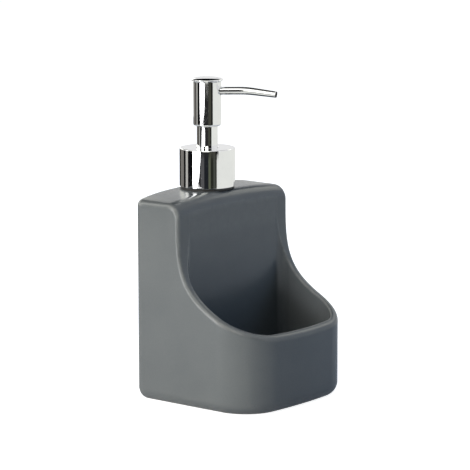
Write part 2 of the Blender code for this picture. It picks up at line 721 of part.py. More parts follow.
def collar(chrome, white, black):
    edge = COLLAR_EDGE_RADIUS
    top = COLLAR_TOP
    guide_hole = GUIDE_RADIUS + GAP
    profile = [(SHELL_INNER, COLLAR_Z), (COLLAR_RADIUS, COLLAR_Z)]
    profile += arc(COLLAR_RADIUS - edge, top - edge, edge, 0, 90, ARC_STEPS)
    profile += [(guide_hole, top), (guide_hole, top - SHELL_WALL), (SHELL_INNER, top - SHELL_WALL)]
    turned("collar_shell", profile, chrome, COLLAR_STEPS)
    nut_z = NECK_BODY_Z + GAP
    turned(
        "closure_nut",
        [
            (NUT_BORE, nut_z),
            (NUT_OUTER, nut_z),
            (NUT_OUTER, NUT_TOP),
            (STEM_RADIUS + GUIDE_WALL, NUT_TOP),
            (STEM_RADIUS + GUIDE_WALL, NUT_DISC_Z),
            (NUT_BORE, NUT_DISC_Z),
        ],
        white,
    )
    flange = GUIDE_RADIUS + GUIDE_FLANGE_WIDTH
    turned(
        "guide_tube",
        [
            (GUIDE_INNER, GUIDE_Z),
            (flange, GUIDE_Z),
            (flange, GUIDE_Z + GUIDE_FLANGE_THICKNESS),
            (GUIDE_RADIUS, GUIDE_Z + GUIDE_FLANGE_THICKNESS),
            (GUIDE_RADIUS, GUIDE_TOP),
            (GUIDE_INNER, GUIDE_TOP),
        ],
        chrome,
    )
    turned("neck_gasket", ring(GASKET_INNER, GASKET_OUTER, GASKET_Z, GASKET_Z + GASKET_THICKNESS), black)
    gasket_top = FLANGE_GASKET_Z + FLANGE_GASKET_THICKNESS
    turned("flange_gasket", ring(NECK_BORE, NECK_RADIUS, FLANGE_GASKET_Z, gasket_top), black)


def pump_inside(white, black, steel, clear):
    seat = BALL_SEAT_RADIUS
    socket = DIP_TUBE_RADIUS + SLIM_GAP
    cylinder = turned(
        "pump_cylinder",
        [
            (CYLINDER_RADIUS, CYLINDER_FLANGE_Z),
            (NECK_RADIUS, CYLINDER_FLANGE_Z),
            (NECK_RADIUS, CYLINDER_TOP),
            (CYLINDER_INNER, CYLINDER_TOP),
            (CYLINDER_INNER, CONE_TOP + BALL_RADIUS),
            (BALL_RADIUS + GAP, CONE_TOP + BALL_RADIUS / 2),
            (seat, CONE_TOP - BALL_RADIUS / 2),
            (seat, DIP_TUBE_TOP + GAP),
            (socket, DIP_TUBE_TOP + GAP),
            (socket, CYLINDER_BOTTOM - SPIGOT_LENGTH),
            (SPIGOT_RADIUS, CYLINDER_BOTTOM - SPIGOT_LENGTH),
            (SPIGOT_RADIUS, CYLINDER_BOTTOM),
            (CYLINDER_RADIUS, CONE_TOP),
        ],
        white,
    )
    vent_z = SEAL_Z - PISTON_HEIGHT / 2
    vent = side_hole("vent_cutter", vent_z)
    cut(cylinder, vent)
    bush = CYLINDER_INNER - GAP
    turned("stem_bush", ring(STEM_RADIUS + GAP, bush, BUSH_Z, BUSH_TOP), white)
    turned("stem_seal", ring(STEM_RADIUS + GAP, bush, SEAL_Z, SEAL_Z + SEAL_THICKNESS), black)
    piston_stem_profile = ring(STEM_RADIUS - STEM_WALL, STEM_RADIUS, PISTON_Z + GAP, STEM_TOP)
    turned("piston_stem", piston_stem_profile, white)
    hold = STEM_RADIUS + SLIM_GAP
    waist = PISTON_RADIUS - PISTON_LIP
    lip = PISTON_LIP * 2
    turned(
        "piston",
        [
            (hold, PISTON_Z),
            (waist - PISTON_LIP, PISTON_Z),
            (waist - PISTON_LIP, PISTON_Z + lip / 2),
            (PISTON_RADIUS - PISTON_LIP / 2, PISTON_Z),
            (PISTON_RADIUS, PISTON_Z + lip / 2),
            (waist, PISTON_Z + lip),
            (waist, PISTON_TOP - lip),
            (PISTON_RADIUS, PISTON_TOP - lip / 2),
            (PISTON_RADIUS - PISTON_LIP / 2, PISTON_TOP),
            (waist - PISTON_LIP, PISTON_TOP - lip / 2),
            (waist - PISTON_LIP, PISTON_TOP),
            (hold, PISTON_TOP),
        ],
        white,
    )
    spring(steel)
    ball_cage(white)
    ball_profile = [(0.0, BALL_Z - BALL_RADIUS)]
    ball_profile += arc(0.0, BALL_Z, BALL_RADIUS, -BALL_ARC_DEG, BALL_ARC_DEG, BALL_ARC_STEPS)
    ball_profile += [(0.0, BALL_Z + BALL_RADIUS)]
    turned("valve_ball", ball_profile, steel, BALL_STEPS, BALL_Z)
    turned(
        "dip_tube",
        ring(DIP_TUBE_RADIUS - DIP_TUBE_WALL, DIP_TUBE_RADIUS, DIP_TUBE_BOTTOM, DIP_TUBE_TOP),
        clear,
        TUBE_STEPS,
    )


def side_hole(name, z):
    """A small round cutter through the rear side of the cylinder wall."""
    steps = VENT_STEPS
    rings = []
    for y in (PUMP_Y + STEM_RADIUS + GAP, PUMP_Y + CYLINDER_RADIUS + CYLINDER_WALL):
        points = []
        for k in range(steps):
            a = 2 * math.pi * k / steps
            points.append((VENT_RADIUS * math.cos(a), y, z + VENT_RADIUS * math.sin(a)))
        rings.append(points)
    vertices, faces = loft(rings)
    return cutter(add_object(name, vertices, faces))


def ball_cage(look):
    """A ring over the ball with four legs under it and a slotted hole through it."""
    outer = CYLINDER_INNER - GAP
    cage = turned(
        "ball_cage",
        ring(BALL_SEAT_RADIUS, outer, CONE_TOP + BALL_RADIUS + GAP, CAGE_Z + CAGE_THICKNESS),
        look,
    )
    low = CONE_TOP
    inner = outer - CYLINDER_WALL
    room_profile = [(0.0, low), (inner, low), (inner, CAGE_Z), (0.0, CAGE_Z)]
    room, room_faces = lathe(room_profile, ROUND_STEPS, (0.0, PUMP_Y))
    cut(cage, cutter(add_object("cage_room_cutter", room, room_faces)))
    far, near = CYLINDER_RADIUS, BALL_RADIUS / 2
    corners = [(near, near), (near, far), (-near, far), (-near, near), (-far, near), (-far, -near)]
    cross = corners + [(-x, -y) for x, y in corners]
    turn = math.radians(CAGE_TURN_DEG)
    level = []
    for x, y in cross:
        turned_x = x * math.cos(turn) - y * math.sin(turn)
        turned_y = x * math.sin(turn) + y * math.cos(turn)
        level.append((turned_x, PUMP_Y + turned_y))
    vertices, faces = loft([[(x, y, z) for x, y in level] for z in (low, CAGE_Z - GAP)])
    cut(cage, cutter(add_object("cage_slot_cutter", vertices, faces)))
    return cage


def main():
    clear_scene()
    glaze = material("grey_glaze", (0.19, 0.21, 0.22), 0.42)
    chrome = material("chrome", (0.75, 0.76, 0.77), 0.08, 1.0)
    white = material("white_plastic", (0.82, 0.82, 0.80), 0.45)
    black = material("black_rubber", (0.02, 0.02, 0.02), 0.6)
    steel = material("spring_steel", (0.55, 0.56, 0.57), 0.25, 1.0)
    clear = material("milky_plastic", (0.75, 0.78, 0.78), 0.35)
    ceramic_body(glaze)
    neck_insert(white)
    collar(chrome, white, black)
    head(chrome, white)
    spout(chrome, black)
    pump_inside(white, black, steel, clear)


main()
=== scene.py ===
"""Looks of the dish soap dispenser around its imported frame: a satin glazed body and a chrome pump."""

import math

import bmesh
import bpy
import numpy as np
from mathutils import Matrix, Vector

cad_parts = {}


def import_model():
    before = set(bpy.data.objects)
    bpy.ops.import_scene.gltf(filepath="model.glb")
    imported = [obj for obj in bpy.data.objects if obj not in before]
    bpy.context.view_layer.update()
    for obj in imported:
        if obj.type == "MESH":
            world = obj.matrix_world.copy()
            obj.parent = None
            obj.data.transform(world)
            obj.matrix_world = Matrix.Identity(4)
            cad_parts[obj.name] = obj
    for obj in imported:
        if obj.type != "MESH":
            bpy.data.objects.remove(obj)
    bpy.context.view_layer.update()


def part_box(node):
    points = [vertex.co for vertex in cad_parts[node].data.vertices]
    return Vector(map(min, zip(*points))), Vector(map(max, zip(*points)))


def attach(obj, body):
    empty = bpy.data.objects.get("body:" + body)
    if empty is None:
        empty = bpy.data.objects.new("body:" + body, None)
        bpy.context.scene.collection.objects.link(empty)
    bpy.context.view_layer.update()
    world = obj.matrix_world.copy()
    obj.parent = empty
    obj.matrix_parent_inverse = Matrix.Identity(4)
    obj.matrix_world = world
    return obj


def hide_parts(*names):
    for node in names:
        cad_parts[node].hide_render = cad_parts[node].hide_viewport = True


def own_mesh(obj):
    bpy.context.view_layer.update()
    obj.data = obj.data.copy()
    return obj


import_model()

# Frame of the picture
PICTURE_SIDE = 470
FOCAL_PIXELS = 2529.6
SENSOR_MM = 36.0
CAMERA_AZIMUTH_DEG = -50.21
CAMERA_ELEVATION_DEG = 10.32
CAMERA_DISTANCE = 1.4777
CAMERA_TARGET = (0.0, 0.0022, 0.090)
TARGET_PIXEL = (243.22, 243.76)
CLIP_RANGE = (0.05, 20.0)

# Ceramic body, the same shape as its solid
BODY_WIDTH = 0.1010
BODY_DEPTH = 0.0914
REAR_BOW = 0.0035
FRONT_BOW = 0.0048
FRONT_NARROWING = 0.0025
FRONT_CORNER_RADIUS = 0.0240
REAR_CORNER_RADIUS = 0.0056
TANK_DEPTH = 0.0330
TANK_SIDE_HEIGHT = 0.1168
TOP_CROWN = 0.0040
CROWN_FADE_DEPTH = 0.0300
TOP_FRONT_REACH = 0.0085
TOP_FRONT_DROP = 0.0080
BASE_EDGE_RADIUS = 0.0075
RIM_HEIGHT = 0.0440
SWOOP_START_HEIGHT = 0.1050
SWOOP_UPPER_HANDLE_HEIGHT = 0.0710
SWOOP_LOWER_HANDLE_HEIGHT = 0.0622
SWOOP_LOWER_HANDLE_DEPTH = 0.0386
SWOOP_STEPS = 24
SIDE_EDGE_RADIUS = 0.0021
REAR_TOP_RADIUS = 0.0032
RIM_INNER_RADIUS = 0.0012
POCKET_WALL = 0.0048
POCKET_FLOOR = 0.0060
POCKET_FLOOR_RADIUS = 0.0050
POCKET_REAR_RADIUS = 0.0060
TANK_WALL = 0.0050
TANK_FLOOR = 0.0060
TANK_ROOF = 0.0060
TANK_EDGE_RADIUS = 0.0048
BODY_CELL = 0.0008
CURVE_REACH = 0.0012
RIDGE_FROM = 300.0
RIDGE_SPAN = 600.0
HOLLOW_FROM = 60.0
HOLLOW_SPAN = 300.0
SOLE_HEIGHT = 0.0006
SOLE_FADE = 0.0004

REAR_LINE_Y = BODY_DEPTH / 2 - REAR_BOW
FRONT_REACH = BODY_DEPTH - REAR_BOW

# Pump, the same sizes as its solids
TURN_STEPS = 128
FINE_TURN_STEPS = 64
CORNER_STEPS = 4
THREAD_ROWS = 56
SPOUT_STEPS = 48
GAP = 0.0003
SLIM_GAP = 0.0002
FINE_EDGE = 0.00025
COLLAR_EDGE = 0.0006
SHELL_WALL = 0.0008
NUT_WALL = 0.0013
NUT_DISC = 0.0015
GASKET_WIDTH = 0.0034
NECK_FLANGE = 0.0014
NECK_WALL = 0.0026
THREAD_HEIGHT = 0.0009
THREAD_PITCH = 0.0036
THREAD_FOOT_SHARE = 0.26
THREAD_SLOPE_SHARE = 0.62
GUIDE_RADIUS = 0.0062
GUIDE_WALL = 0.0008
GUIDE_FLANGE = 0.0012
HEAD_WALL = 0.0014
BARREL_EDGE = 0.0012
CAP_RIM = 0.0006
CAP_SPIGOT = 0.0016
CORE_BOSS_RADIUS = 0.0048
CORE_BOSS_LENGTH = 0.0105
SPOUT_SWIVEL_DEG = 28.0
SPOUT_DROP = 0.0060
SPOUT_ROOT_REACH = 0.0056
SPOUT_BEND_REACH = 0.0235
SPOUT_BEND_LENGTH = 0.0100
SPOUT_TIP_REACH = 0.0409
SPOUT_RISE = 0.0006
SPOUT_TIP_DROP = 0.0019
SPOUT_ROOT_RADIUS = 0.00235
SPOUT_BEND_RADIUS = 0.00230
SPOUT_TIP_RADIUS = 0.00190
SPOUT_WALL = 0.00035
LINER_WALL = 0.00045
LINER_PROTRUSION = 0.0005
LINER_LIP_GAP = 0.00004
SPOUT_END_EDGE = 0.00016
LINER_END_EDGE = 0.00012
CYLINDER_RADIUS = 0.0070
CYLINDER_WALL = 0.0010
CYLINDER_LENGTH = 0.0500
CYLINDER_FLANGE = 0.0014
CONE_HEIGHT = 0.0040
SPIGOT_RADIUS = 0.0041
VENT_RADIUS = 0.0007
VENT_CUT_LENGTH = 0.0040
STEM_RADIUS = 0.0030
STEM_WALL = 0.0009
PISTON_HEIGHT = 0.0052
PISTON_LIP = 0.0008
PISTON_EDGE = 0.0001
CAGE_THICKNESS = 0.0014
CAGE_TURN_DEG = 26.0
BALL_RADIUS = 0.0023
BALL_SEAT = 0.0016
SPRING_WIRE = 0.0004
SPRING_RADIUS = 0.0042
SPRING_TURNS = 8.0
DIP_RADIUS = 0.0030
DIP_WALL = 0.0009


def box_of(node):
    """Outer radius, lowest and highest level of a turned node, and the depth of its axis."""
    low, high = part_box(node)
    return (high.x - low.x) / 2, low.z, high.z, (high.y + low.y) / 2


def levels_of(node):
    return box_of(node)[1:3]


PUMP_Y = box_of("collar_shell")[3]
CAP_Z = box_of("head_cap")[1] + CAP_SPIGOT
SPOUT_Z = CAP_Z - SPOUT_DROP


def link_object(name, mesh):
    made = bpy.data.objects.new(name, mesh)
    bpy.context.scene.collection.objects.link(made)
    return made


def new_mesh(name, vertices, faces):
    mesh = bpy.data.meshes.new(name)
    mesh.from_pydata(vertices, [], faces)
    return mesh


def closed_mesh(name, vertices, faces):
    """A closed mesh with its faces out."""
    mesh = new_mesh(name, vertices, faces)
    work = bmesh.new()
    work.from_mesh(mesh)
    bmesh.ops.recalc_face_normals(work, faces=work.faces[:])
    work.to_mesh(mesh)
    work.free()
    return mesh


LOOKS = {}


def piece(name, vertices, faces, body, slot, nodes, sharp_deg=40.0):
    """A shown piece: faces out, smooth but for sharp edges, on its body and in place of its solids."""
    faces = faces.tolist() if isinstance(faces, np.ndarray) else faces
    mesh = new_mesh(name, np.asarray(vertices, float).tolist(), faces)
    work = bmesh.new()
    work.from_mesh(mesh)
    bmesh.ops.recalc_face_normals(work, faces=work.faces[:])
    if work.calc_volume(signed=True) < 0:
        bmesh.ops.reverse_faces(work, faces=work.faces[:])
    limit = math.radians(sharp_deg)
    for face in work.faces:
        face.smooth = True
    for edge in work.edges:
        edge.smooth = not (edge.is_manifold and edge.calc_face_angle(0.0) > limit)
    work.to_mesh(mesh)
    work.free()
    made = link_object(name, mesh)
    mesh.materials.append(LOOKS[slot])
    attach(made, body)
    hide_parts(*nodes)
    return made


def weighted(made):
    """Flat faces keep flat shading next to their rounded edges."""
    step = made.modifiers.new("Even shading", "WEIGHTED_NORMAL")
    step.keep_sharp = True
    step.weight = 80
    return made


# Materials
NOISE_LOW = 0.3
NOISE_HIGH = 0.7


def new_material(name):
    made = bpy.data.materials.new(name)
    made.use_nodes = True
    tree = made.node_tree
    return made, tree, tree.nodes["Principled BSDF"]


def add_node(tree, kind, inputs=None, **settings):
    made = tree.nodes.new(kind)
    for key, value in settings.items():
        setattr(made, key, value)
    for key, value in (inputs or {}).items():
        if isinstance(value, bpy.types.NodeSocket):
            tree.links.new(value, made.inputs[key])
        else:
            made.inputs[key].default_value = value
    return made


def noise(tree, place, scale, detail, roughness=0.5):
    inputs = {"Vector": place, "Scale": scale, "Detail": detail, "Roughness": roughness}
    return add_node(tree, "ShaderNodeTexNoise", inputs).outputs["Fac"]


def clouded(tree, place, scale, detail, low, high, roughness=0.5):
    """Noise whose middle range runs from low to high."""
    value = noise(tree, place, scale, detail, roughness)
    inputs = {"Value": value, "From Min": NOISE_LOW, "From Max": NOISE_HIGH, "To Min": low, "To Max": high}
    return add_node(tree, "ShaderNodeMapRange", inputs).outputs["Result"]


def feed(shader, name, value):
    """Links a value to one of the shader's own sockets."""
    shader.id_data.links.new(value, shader.inputs[name])


def mixed(tree, share, first, second, blend="MIX"):
    made = tree.nodes.new("ShaderNodeMix")
    made.data_type = "RGBA"
    made.blend_type = blend
    for socket, value in ((made.inputs[0], share), (made.inputs[6], first), (made.inputs[7], second)):
        if isinstance(value, bpy.types.NodeSocket):
            tree.links.new(value, socket)
        else:
            socket.default_value = value if isinstance(value, float) else (*value, 1.0)
    return made.outputs[2]


def bumped(tree, shader, height, strength, distance, under=None):
    """Adds a relief to the shader, over the one under it."""
    made = add_node(tree, "ShaderNodeBump", {"Height": height, "Strength": strength, "Distance": distance})
    if under is not None:
        tree.links.new(under, made.inputs["Normal"])
    feed(shader, "Normal", made.outputs["Normal"])
    return made.outputs["Normal"]


def place_of(tree):
    return add_node(tree, "ShaderNodeTexCoord").outputs["Object"]


def attribute_of(tree, name):
    return add_node(tree, "ShaderNodeAttribute", attribute_name=name).outputs["Fac"]


GLAZE_DEEP = (0.116, 0.133, 0.148)
GLAZE_PALE = (0.128, 0.146, 0.161)
# Glaze colour on ridges: thin glaze, and a painted highlight along the edges
GLAZE_THIN_AND_HIGHLIGHT = (0.260, 0.280, 0.290)
# Glaze colour in hollows: pooled glaze, and painted shade
GLAZE_POOLED_AND_SHADE = (0.090, 0.104, 0.116)
BISQUE = (0.62, 0.56, 0.47)
BISQUE_DARK = (0.50, 0.44, 0.36)

# Materials by slot: name, two colours, clouds of colour, clouds of gloss, grains and plain sockets
SURFACES = {
    "chrome": (
        "chrome_plate",
        ((0.90, 0.905, 0.91), (0.86, 0.865, 0.875)),
        (120.0, 4.0, 0.0, 1.0, 0.6),
        (260.0, 5.0, 0.035, 0.075, 0.65),
        ((60.0, 1.0, 0.5, 0.12, 0.0003), (4200.0, 2.0, 0.5, 0.05, 0.00002)),
        {"Metallic": 1.0},
    ),
    "white_plastic": (
        "white_plastic",
        ((0.80, 0.80, 0.78), (0.74, 0.74, 0.72)),
        (90.0, 3.0, 0.0, 1.0),
        (420.0, 3.0, 0.38, 0.5),
        ((1500.0, 3.0, 0.6, 0.25, 0.00004),),
        {"Specular IOR Level": 0.5, "Subsurface Weight": 0.15, "Subsurface Scale": 0.002},
    ),
    "black_rubber": (
        "black_rubber",
        ((0.018, 0.018, 0.019), (0.028, 0.028, 0.03)),
        (90.0, 3.0, 0.0, 1.0),
        (420.0, 3.0, 0.55, 0.7),
        ((2200.0, 3.0, 0.6, 0.25, 0.00006),),
        {"Specular IOR Level": 0.5},
    ),
    "black_plastic": (
        "black_plastic",
        ((0.009, 0.009, 0.010), (0.015, 0.015, 0.016)),
        (90.0, 3.0, 0.0, 1.0),
        (420.0, 3.0, 0.5, 0.65),
        ((1500.0, 3.0, 0.6, 0.25, 0.00004),),
        {"Specular IOR Level": 0.1},
    ),
    "steel": (
        "drawn_steel",
        ((0.56, 0.57, 0.58), (0.66, 0.67, 0.68)),
        (500.0, 3.0, 0.0, 1.0),
        (1500.0, 4.0, 0.18, 0.32),
        ((5200.0, 2.0, 0.5, 0.2, 0.00002),),
        {"Metallic": 1.0},
    ),
    "milky_plastic": (
        "milky_plastic",
        ((0.84, 0.87, 0.86), (0.78, 0.82, 0.82)),
        (70.0, 3.0, 0.0, 1.0),
        (600.0, 3.0, 0.28, 0.42),
        ((380.0, 3.0, 0.5, 0.2, 0.00008),),
        {"Transmission Weight": 0.55, "IOR": 1.45},
    ),
}


def satin_glaze():
    """Grey satin glaze: soft clouds, lighter on ridges for thin glaze and a painted highlight, darker in
    hollows for pooled glaze and painted shade, and bare clay under the foot.
    """
    made, tree, shader = new_material("satin_glaze")
    place = place_of(tree)
    colour = mixed(tree, clouded(tree, place, 34.0, 3.0, 0.0, 1.0), GLAZE_DEEP, GLAZE_PALE)
    grain = clouded(tree, place, 1400.0, 3.0, 0.965, 1.035, 0.6)
    ridge = attribute_of(tree, "ridge")
    hollow = attribute_of(tree, "hollow")
    patchy = clouded(tree, place, 220.0, 3.0, 0.35, 0.9)
    # Lighter on ridges: thin glaze, and a painted highlight along the edges
    thin_and_highlight = add_node(tree, "ShaderNodeMath", {0: ridge, 1: patchy}, operation="MULTIPLY")
    colour = mixed(tree, thin_and_highlight.outputs[0], colour, GLAZE_THIN_AND_HIGHLIGHT)
    # Darker in hollows: pooled glaze, and painted shade
    colour = mixed(tree, hollow, colour, GLAZE_POOLED_AND_SHADE)
    tint = add_node(tree, "ShaderNodeCombineColor", {"Red": grain, "Green": grain, "Blue": grain})
    colour = mixed(tree, 1.0, colour, tint.outputs["Color"], "MULTIPLY")
    foot = attribute_of(tree, "foot")
    clay = mixed(tree, clouded(tree, place, 900.0, 4.0, 0.0, 1.0, 0.7), BISQUE, BISQUE_DARK)
    feed(shader, "Base Color", mixed(tree, foot, colour, clay))
    satin = clouded(tree, place, 160.0, 4.0, 0.20, 0.25, 0.6)
    rough = add_node(tree, "ShaderNodeMapRange", {"Value": foot, "To Min": satin, "To Max": 0.9})
    feed(shader, "Roughness", rough.outputs["Result"])
    shader.inputs["Specular IOR Level"].default_value = 0.5
    wave = bumped(tree, shader, noise(tree, place, 70.0, 2.0), 0.12, 0.0004)
    bumped(tree, shader, noise(tree, place, 1900.0, 3.0, 0.6), 0.30, 0.00006, wave)
    return made


def surface(name, colours, drift, gloss, grains, sockets):
    """Two colours that drift into each other, uneven gloss and fine grain."""
    made, tree, shader = new_material(name)
    place = place_of(tree)
    feed(shader, "Base Color", mixed(tree, clouded(tree, place, *drift), *colours))
    feed(shader, "Roughness", clouded(tree, place, *gloss))
    for socket, value in sockets.items():
        shader.inputs[socket].default_value = value
    under = None
    for scale, detail, roughness, strength, depth in grains:
        grain = noise(tree, place, scale, detail, roughness)
        under = bumped(tree, shader, grain, strength, depth, under)
    return made


# Ceramic body
def rounded_max(a, b, radius):
    """The meeting of two half spaces, given as distances, with its edge rounded off."""
    inside = np.minimum(np.maximum(a, b), -radius)
    return inside + np.hypot(np.maximum(a + radius, 0.0), np.maximum(b + radius, 0.0))


def swoop_chain():
    """Side view of the top: tank top, its front edge, tank front and the swoop to the rim, as (depth, z)."""
    start = np.array([TANK_DEPTH, SWOOP_START_HEIGHT])
    upper = np.array([TANK_DEPTH, SWOOP_UPPER_HANDLE_HEIGHT])
    lower = np.array([SWOOP_LOWER_HANDLE_DEPTH, SWOOP_LOWER_HANDLE_HEIGHT])
    end = np.array([FRONT_REACH, RIM_HEIGHT])
    t = np.linspace(0.0, 1.0, SWOOP_STEPS)[:, None]
    curve = (1 - t) ** 3 * start + 3 * t * (1 - t) ** 2 * upper + 3 * t * t * (1 - t) * lower + t**3 * end
    a = np.linspace(0.0, math.pi / 2, 10)
    corner = np.c_[
        TANK_DEPTH - TOP_FRONT_REACH * (1 - np.sin(a)),
        TANK_SIDE_HEIGHT - TOP_FRONT_DROP * (1 - np.cos(a)),
    ]
    back = np.array([[-BODY_DEPTH, TANK_SIDE_HEIGHT]])
    onward = curve[-1] + (curve[-1] - curve[-2]) * SWOOP_STEPS
    return np.vstack([back, corner, curve, onward[None]])


CHAIN = swoop_chain()


def chain_distance(depth, z):
    """Distance to the side view line, positive in front of it and above it."""
    start, end = CHAIN[:-1], CHAIN[1:]
    run = end - start
    px = depth[..., None] - start[:, 0]
    pz = z[..., None] - start[:, 1]
    share = np.clip((px * run[:, 0] + pz * run[:, 1]) / (run**2).sum(1), 0.0, 1.0)
    dx = px - share * run[:, 0]
    dz = pz - share * run[:, 1]
    square = dx * dx + dz * dz
    nearest = np.argmin(square, -1)[..., None]
    distance = np.sqrt(np.take_along_axis(square, nearest, -1))[..., 0]
    kx = np.take_along_axis(px, nearest, -1)[..., 0]
    kz = np.take_along_axis(pz, nearest, -1)[..., 0]
    k = nearest[..., 0]
    return distance * np.sign(run[k, 0] * kz - run[k, 1] * kx)


def crowned(x, z):
    """Height with the crown of the tank top taken off, so that the side view line can be used at any x."""
    across = np.maximum(1 - (x / (BODY_WIDTH / 2)) ** 2, 0.0)
    fade = np.clip((z - (TANK_SIDE_HEIGHT - CROWN_FADE_DEPTH)) / CROWN_FADE_DEPTH, 0.0, 1.0)
    return z - TOP_CROWN * np.sqrt(across) * fade * fade * (3 - 2 * fade)


def plan_distance(x, depth, inset):
    """Distance to the outline seen from above, moved in by inset, without the rear wall."""
    slope = FRONT_NARROWING / FRONT_REACH
    half = BODY_WIDTH / 2 - inset - slope * depth
    side = (np.abs(x) - half) / math.hypot(1.0, slope)
    front = depth - (FRONT_REACH - inset) + FRONT_BOW * (x / (BODY_WIDTH / 2)) ** 2
    return rounded_max(side, front, FRONT_CORNER_RADIUS - inset)


def outer_distance(x, y, z, profile):
    """Signed distance to the body before its hollows."""
    depth = REAR_LINE_Y - y
    rear = -depth - REAR_BOW * (1 - (x / (BODY_WIDTH / 2)) ** 2)
    walls = rounded_max(plan_distance(x, depth, 0.0), rear, REAR_CORNER_RADIUS)
    block = rounded_max(walls, -z, BASE_EDGE_RADIUS)
    top = profile(depth, crowned(x, z))
    forward = np.clip((depth / TANK_DEPTH - 0.1) / 0.8, 0.0, 1.0)
    forward = forward * forward * (3 - 2 * forward)
    return rounded_max(block, top, REAR_TOP_RADIUS + (SIDE_EDGE_RADIUS - REAR_TOP_RADIUS) * forward)


def body_distance(x, y, z, profile):
    """Signed distance to the skin of the body with its pocket and its tank, negative in the ceramic."""
    depth = REAR_LINE_Y - y
    outer = outer_distance(x, y, z, profile)
    pocket_walls = rounded_max(plan_distance(x, depth, POCKET_WALL), TANK_DEPTH - depth, POCKET_REAR_RADIUS)
    pocket = rounded_max(pocket_walls, POCKET_FLOOR - z, POCKET_FLOOR_RADIUS)
    rim = RIM_INNER_RADIUS * np.clip((depth - TANK_DEPTH) / POCKET_WALL, 0.0, 1.0)
    solid = rounded_max(outer, -pocket, np.maximum(rim, SLIM_GAP / 2))
    half = BODY_WIDTH / 2 - TANK_WALL - FRONT_NARROWING
    rear = TANK_WALL - depth - REAR_BOW * (1 - (x / (BODY_WIDTH / 2)) ** 2)
    sides = rounded_max(np.abs(x) - half, depth - (TANK_DEPTH - TANK_WALL), TANK_EDGE_RADIUS)
    sides = rounded_max(sides, rear, TANK_EDGE_RADIUS)
    roof = TANK_SIDE_HEIGHT - TANK_ROOF
    level = np.maximum(TANK_FLOOR - z, z - roof)
    tank = rounded_max(sides, level, TANK_EDGE_RADIUS)
    return np.maximum(solid, -tank)


def profile_table():
    step = BODY_CELL / 4
    fine_d = np.arange(-BODY_CELL * 8 - REAR_BOW, BODY_DEPTH + BODY_CELL * 4, step)
    fine_z = np.arange(-BODY_CELL * 8 - TOP_CROWN, TANK_SIDE_HEIGHT + TOP_CROWN + BODY_CELL * 4, step)
    table = chain_distance(*np.meshgrid(fine_d, fine_z, indexing="ij"))

    def look(depth, z):
        u = np.clip((depth - fine_d[0]) / step, 0, len(fine_d) - 1.001)
        v = np.clip((z - fine_z[0]) / step, 0, len(fine_z) - 1.001)
        i, j = u.astype(int), v.astype(int)
        a, b = u - i, v - j
        low = table[i, j] * (1 - b) + table[i, j + 1] * b
        high = table[i + 1, j] * (1 - b) + table[i + 1, j + 1] * b
        return low * (1 - a) + high * a

    return look


def skin(field, axes):
    """A closed quad mesh of the zero level of a distance on a regular grid."""
    xs, ys, zs = axes
    size = (len(xs), len(ys), len(zs))
    inside = field < 0
    total = np.zeros((size[0] - 1, size[1] - 1, size[2] - 1, 3))
    count = np.zeros(total.shape[:3])
    grid = np.stack(np.meshgrid(xs, ys, zs, indexing="ij"), -1)
    crossings = []
    for axis in range(3):
        low = [slice(None)] * 3
        high = [slice(None)] * 3
        low[axis] = slice(0, -1)
        high[axis] = slice(1, None)
        low, high = tuple(low), tuple(high)
        change = inside[low] != inside[high]
        f0, f1 = field[low], field[high]
        share = np.where(change, f0 / np.where(change, f0 - f1, 1.0), 0.0)
        point = grid[low] + share[..., None] * (grid[high] - grid[low])
        crossings.append((change, inside[low]))
        others = [a for a in range(3) if a != axis]
        for da in (0, 1):
            for db in (0, 1):
                take = [slice(None)] * 3
                for other, shift in zip(others, (da, db)):
                    take[other] = slice(shift, size[other] - 1 + shift)
                take = tuple(take)
                total += np.where(change[take][..., None], point[take], 0.0)
                count += change[take]
    live = count > 0
    index = np.full(live.shape, -1)
    index[live] = np.arange(live.sum())
    vertices = total[live] / count[live][:, None]
    quads = []
    for axis in range(3):
        change, start_inside = crossings[axis]
        a, b = (axis + 1) % 3, (axis + 2) % 3
        where = np.argwhere(change)
        first = start_inside[change]
        corners = []
        for da, db in ((-1, -1), (0, -1), (0, 0), (-1, 0)):
            cell = where.copy()
            cell[:, a] += da
            cell[:, b] += db
            corners.append(index[cell[:, 0], cell[:, 1], cell[:, 2]])
        quad = np.stack(corners, 1)
        quad[~first] = quad[~first][:, ::-1]
        quads.append(quad)
    return vertices, np.vstack(quads)


def settled(points, profile):
    """Points moved onto the skin along its gradient."""
    nudge = BODY_CELL / 20
    for _ in range(3):
        value = body_distance(*points.T, profile)
        moved = [body_distance(*(points + shift).T, profile) for shift in np.eye(3) * nudge]
        slope = (np.stack(moved, 1) - value[:, None]) / nudge
        square = np.maximum((slope**2).sum(1), 0.25)
        step = np.clip(value / square, -BODY_CELL / 2, BODY_CELL / 2)
        points = points - step[:, None] * slope
    return points


def bend_of(points, profile):
    """How the skin bends at each point, in 1/m: over 0 on ridges, under 0 in hollows."""
    total = -6 * body_distance(*points.T, profile)
    for axis in np.eye(3) * CURVE_REACH:
        for sign in (-1, 1):
            total += body_distance(*(points + sign * axis).T, profile)
    return total / CURVE_REACH**2


def grid_axis(low, high):
    """Grid lines from just before low to just after high."""
    count = int(math.ceil((high - low) / BODY_CELL)) + 3
    return (low + high) / 2 + (np.arange(count) - (count - 1) / 2) * BODY_CELL


def float_attribute(mesh, name, values):
    made = mesh.attributes.new(name, "FLOAT", "POINT")
    made.data.foreach_set("value", np.asarray(values, np.float32))


def neck_cutter():
    """The hole through the roof and the shallow seat of the gasket round it."""
    gasket_radius, gasket_low, _, _ = box_of("neck_gasket")
    hole = box_of("neck_insert")[0] - THREAD_HEIGHT - NECK_WALL / 4
    seat = gasket_radius + GAP
    seat_z = gasket_low - GAP
    low = TANK_SIDE_HEIGHT - TANK_ROOF - TANK_EDGE_RADIUS
    high = seat_z + seat
    profile = [(0.0, low), (hole, low), (hole, seat_z), (seat, seat_z), (seat, high), (0.0, high)]
    vertices, faces = lathe(profile, TURN_STEPS)
    return link_object("neck_way", new_mesh("neck_way", vertices.tolist(), faces))


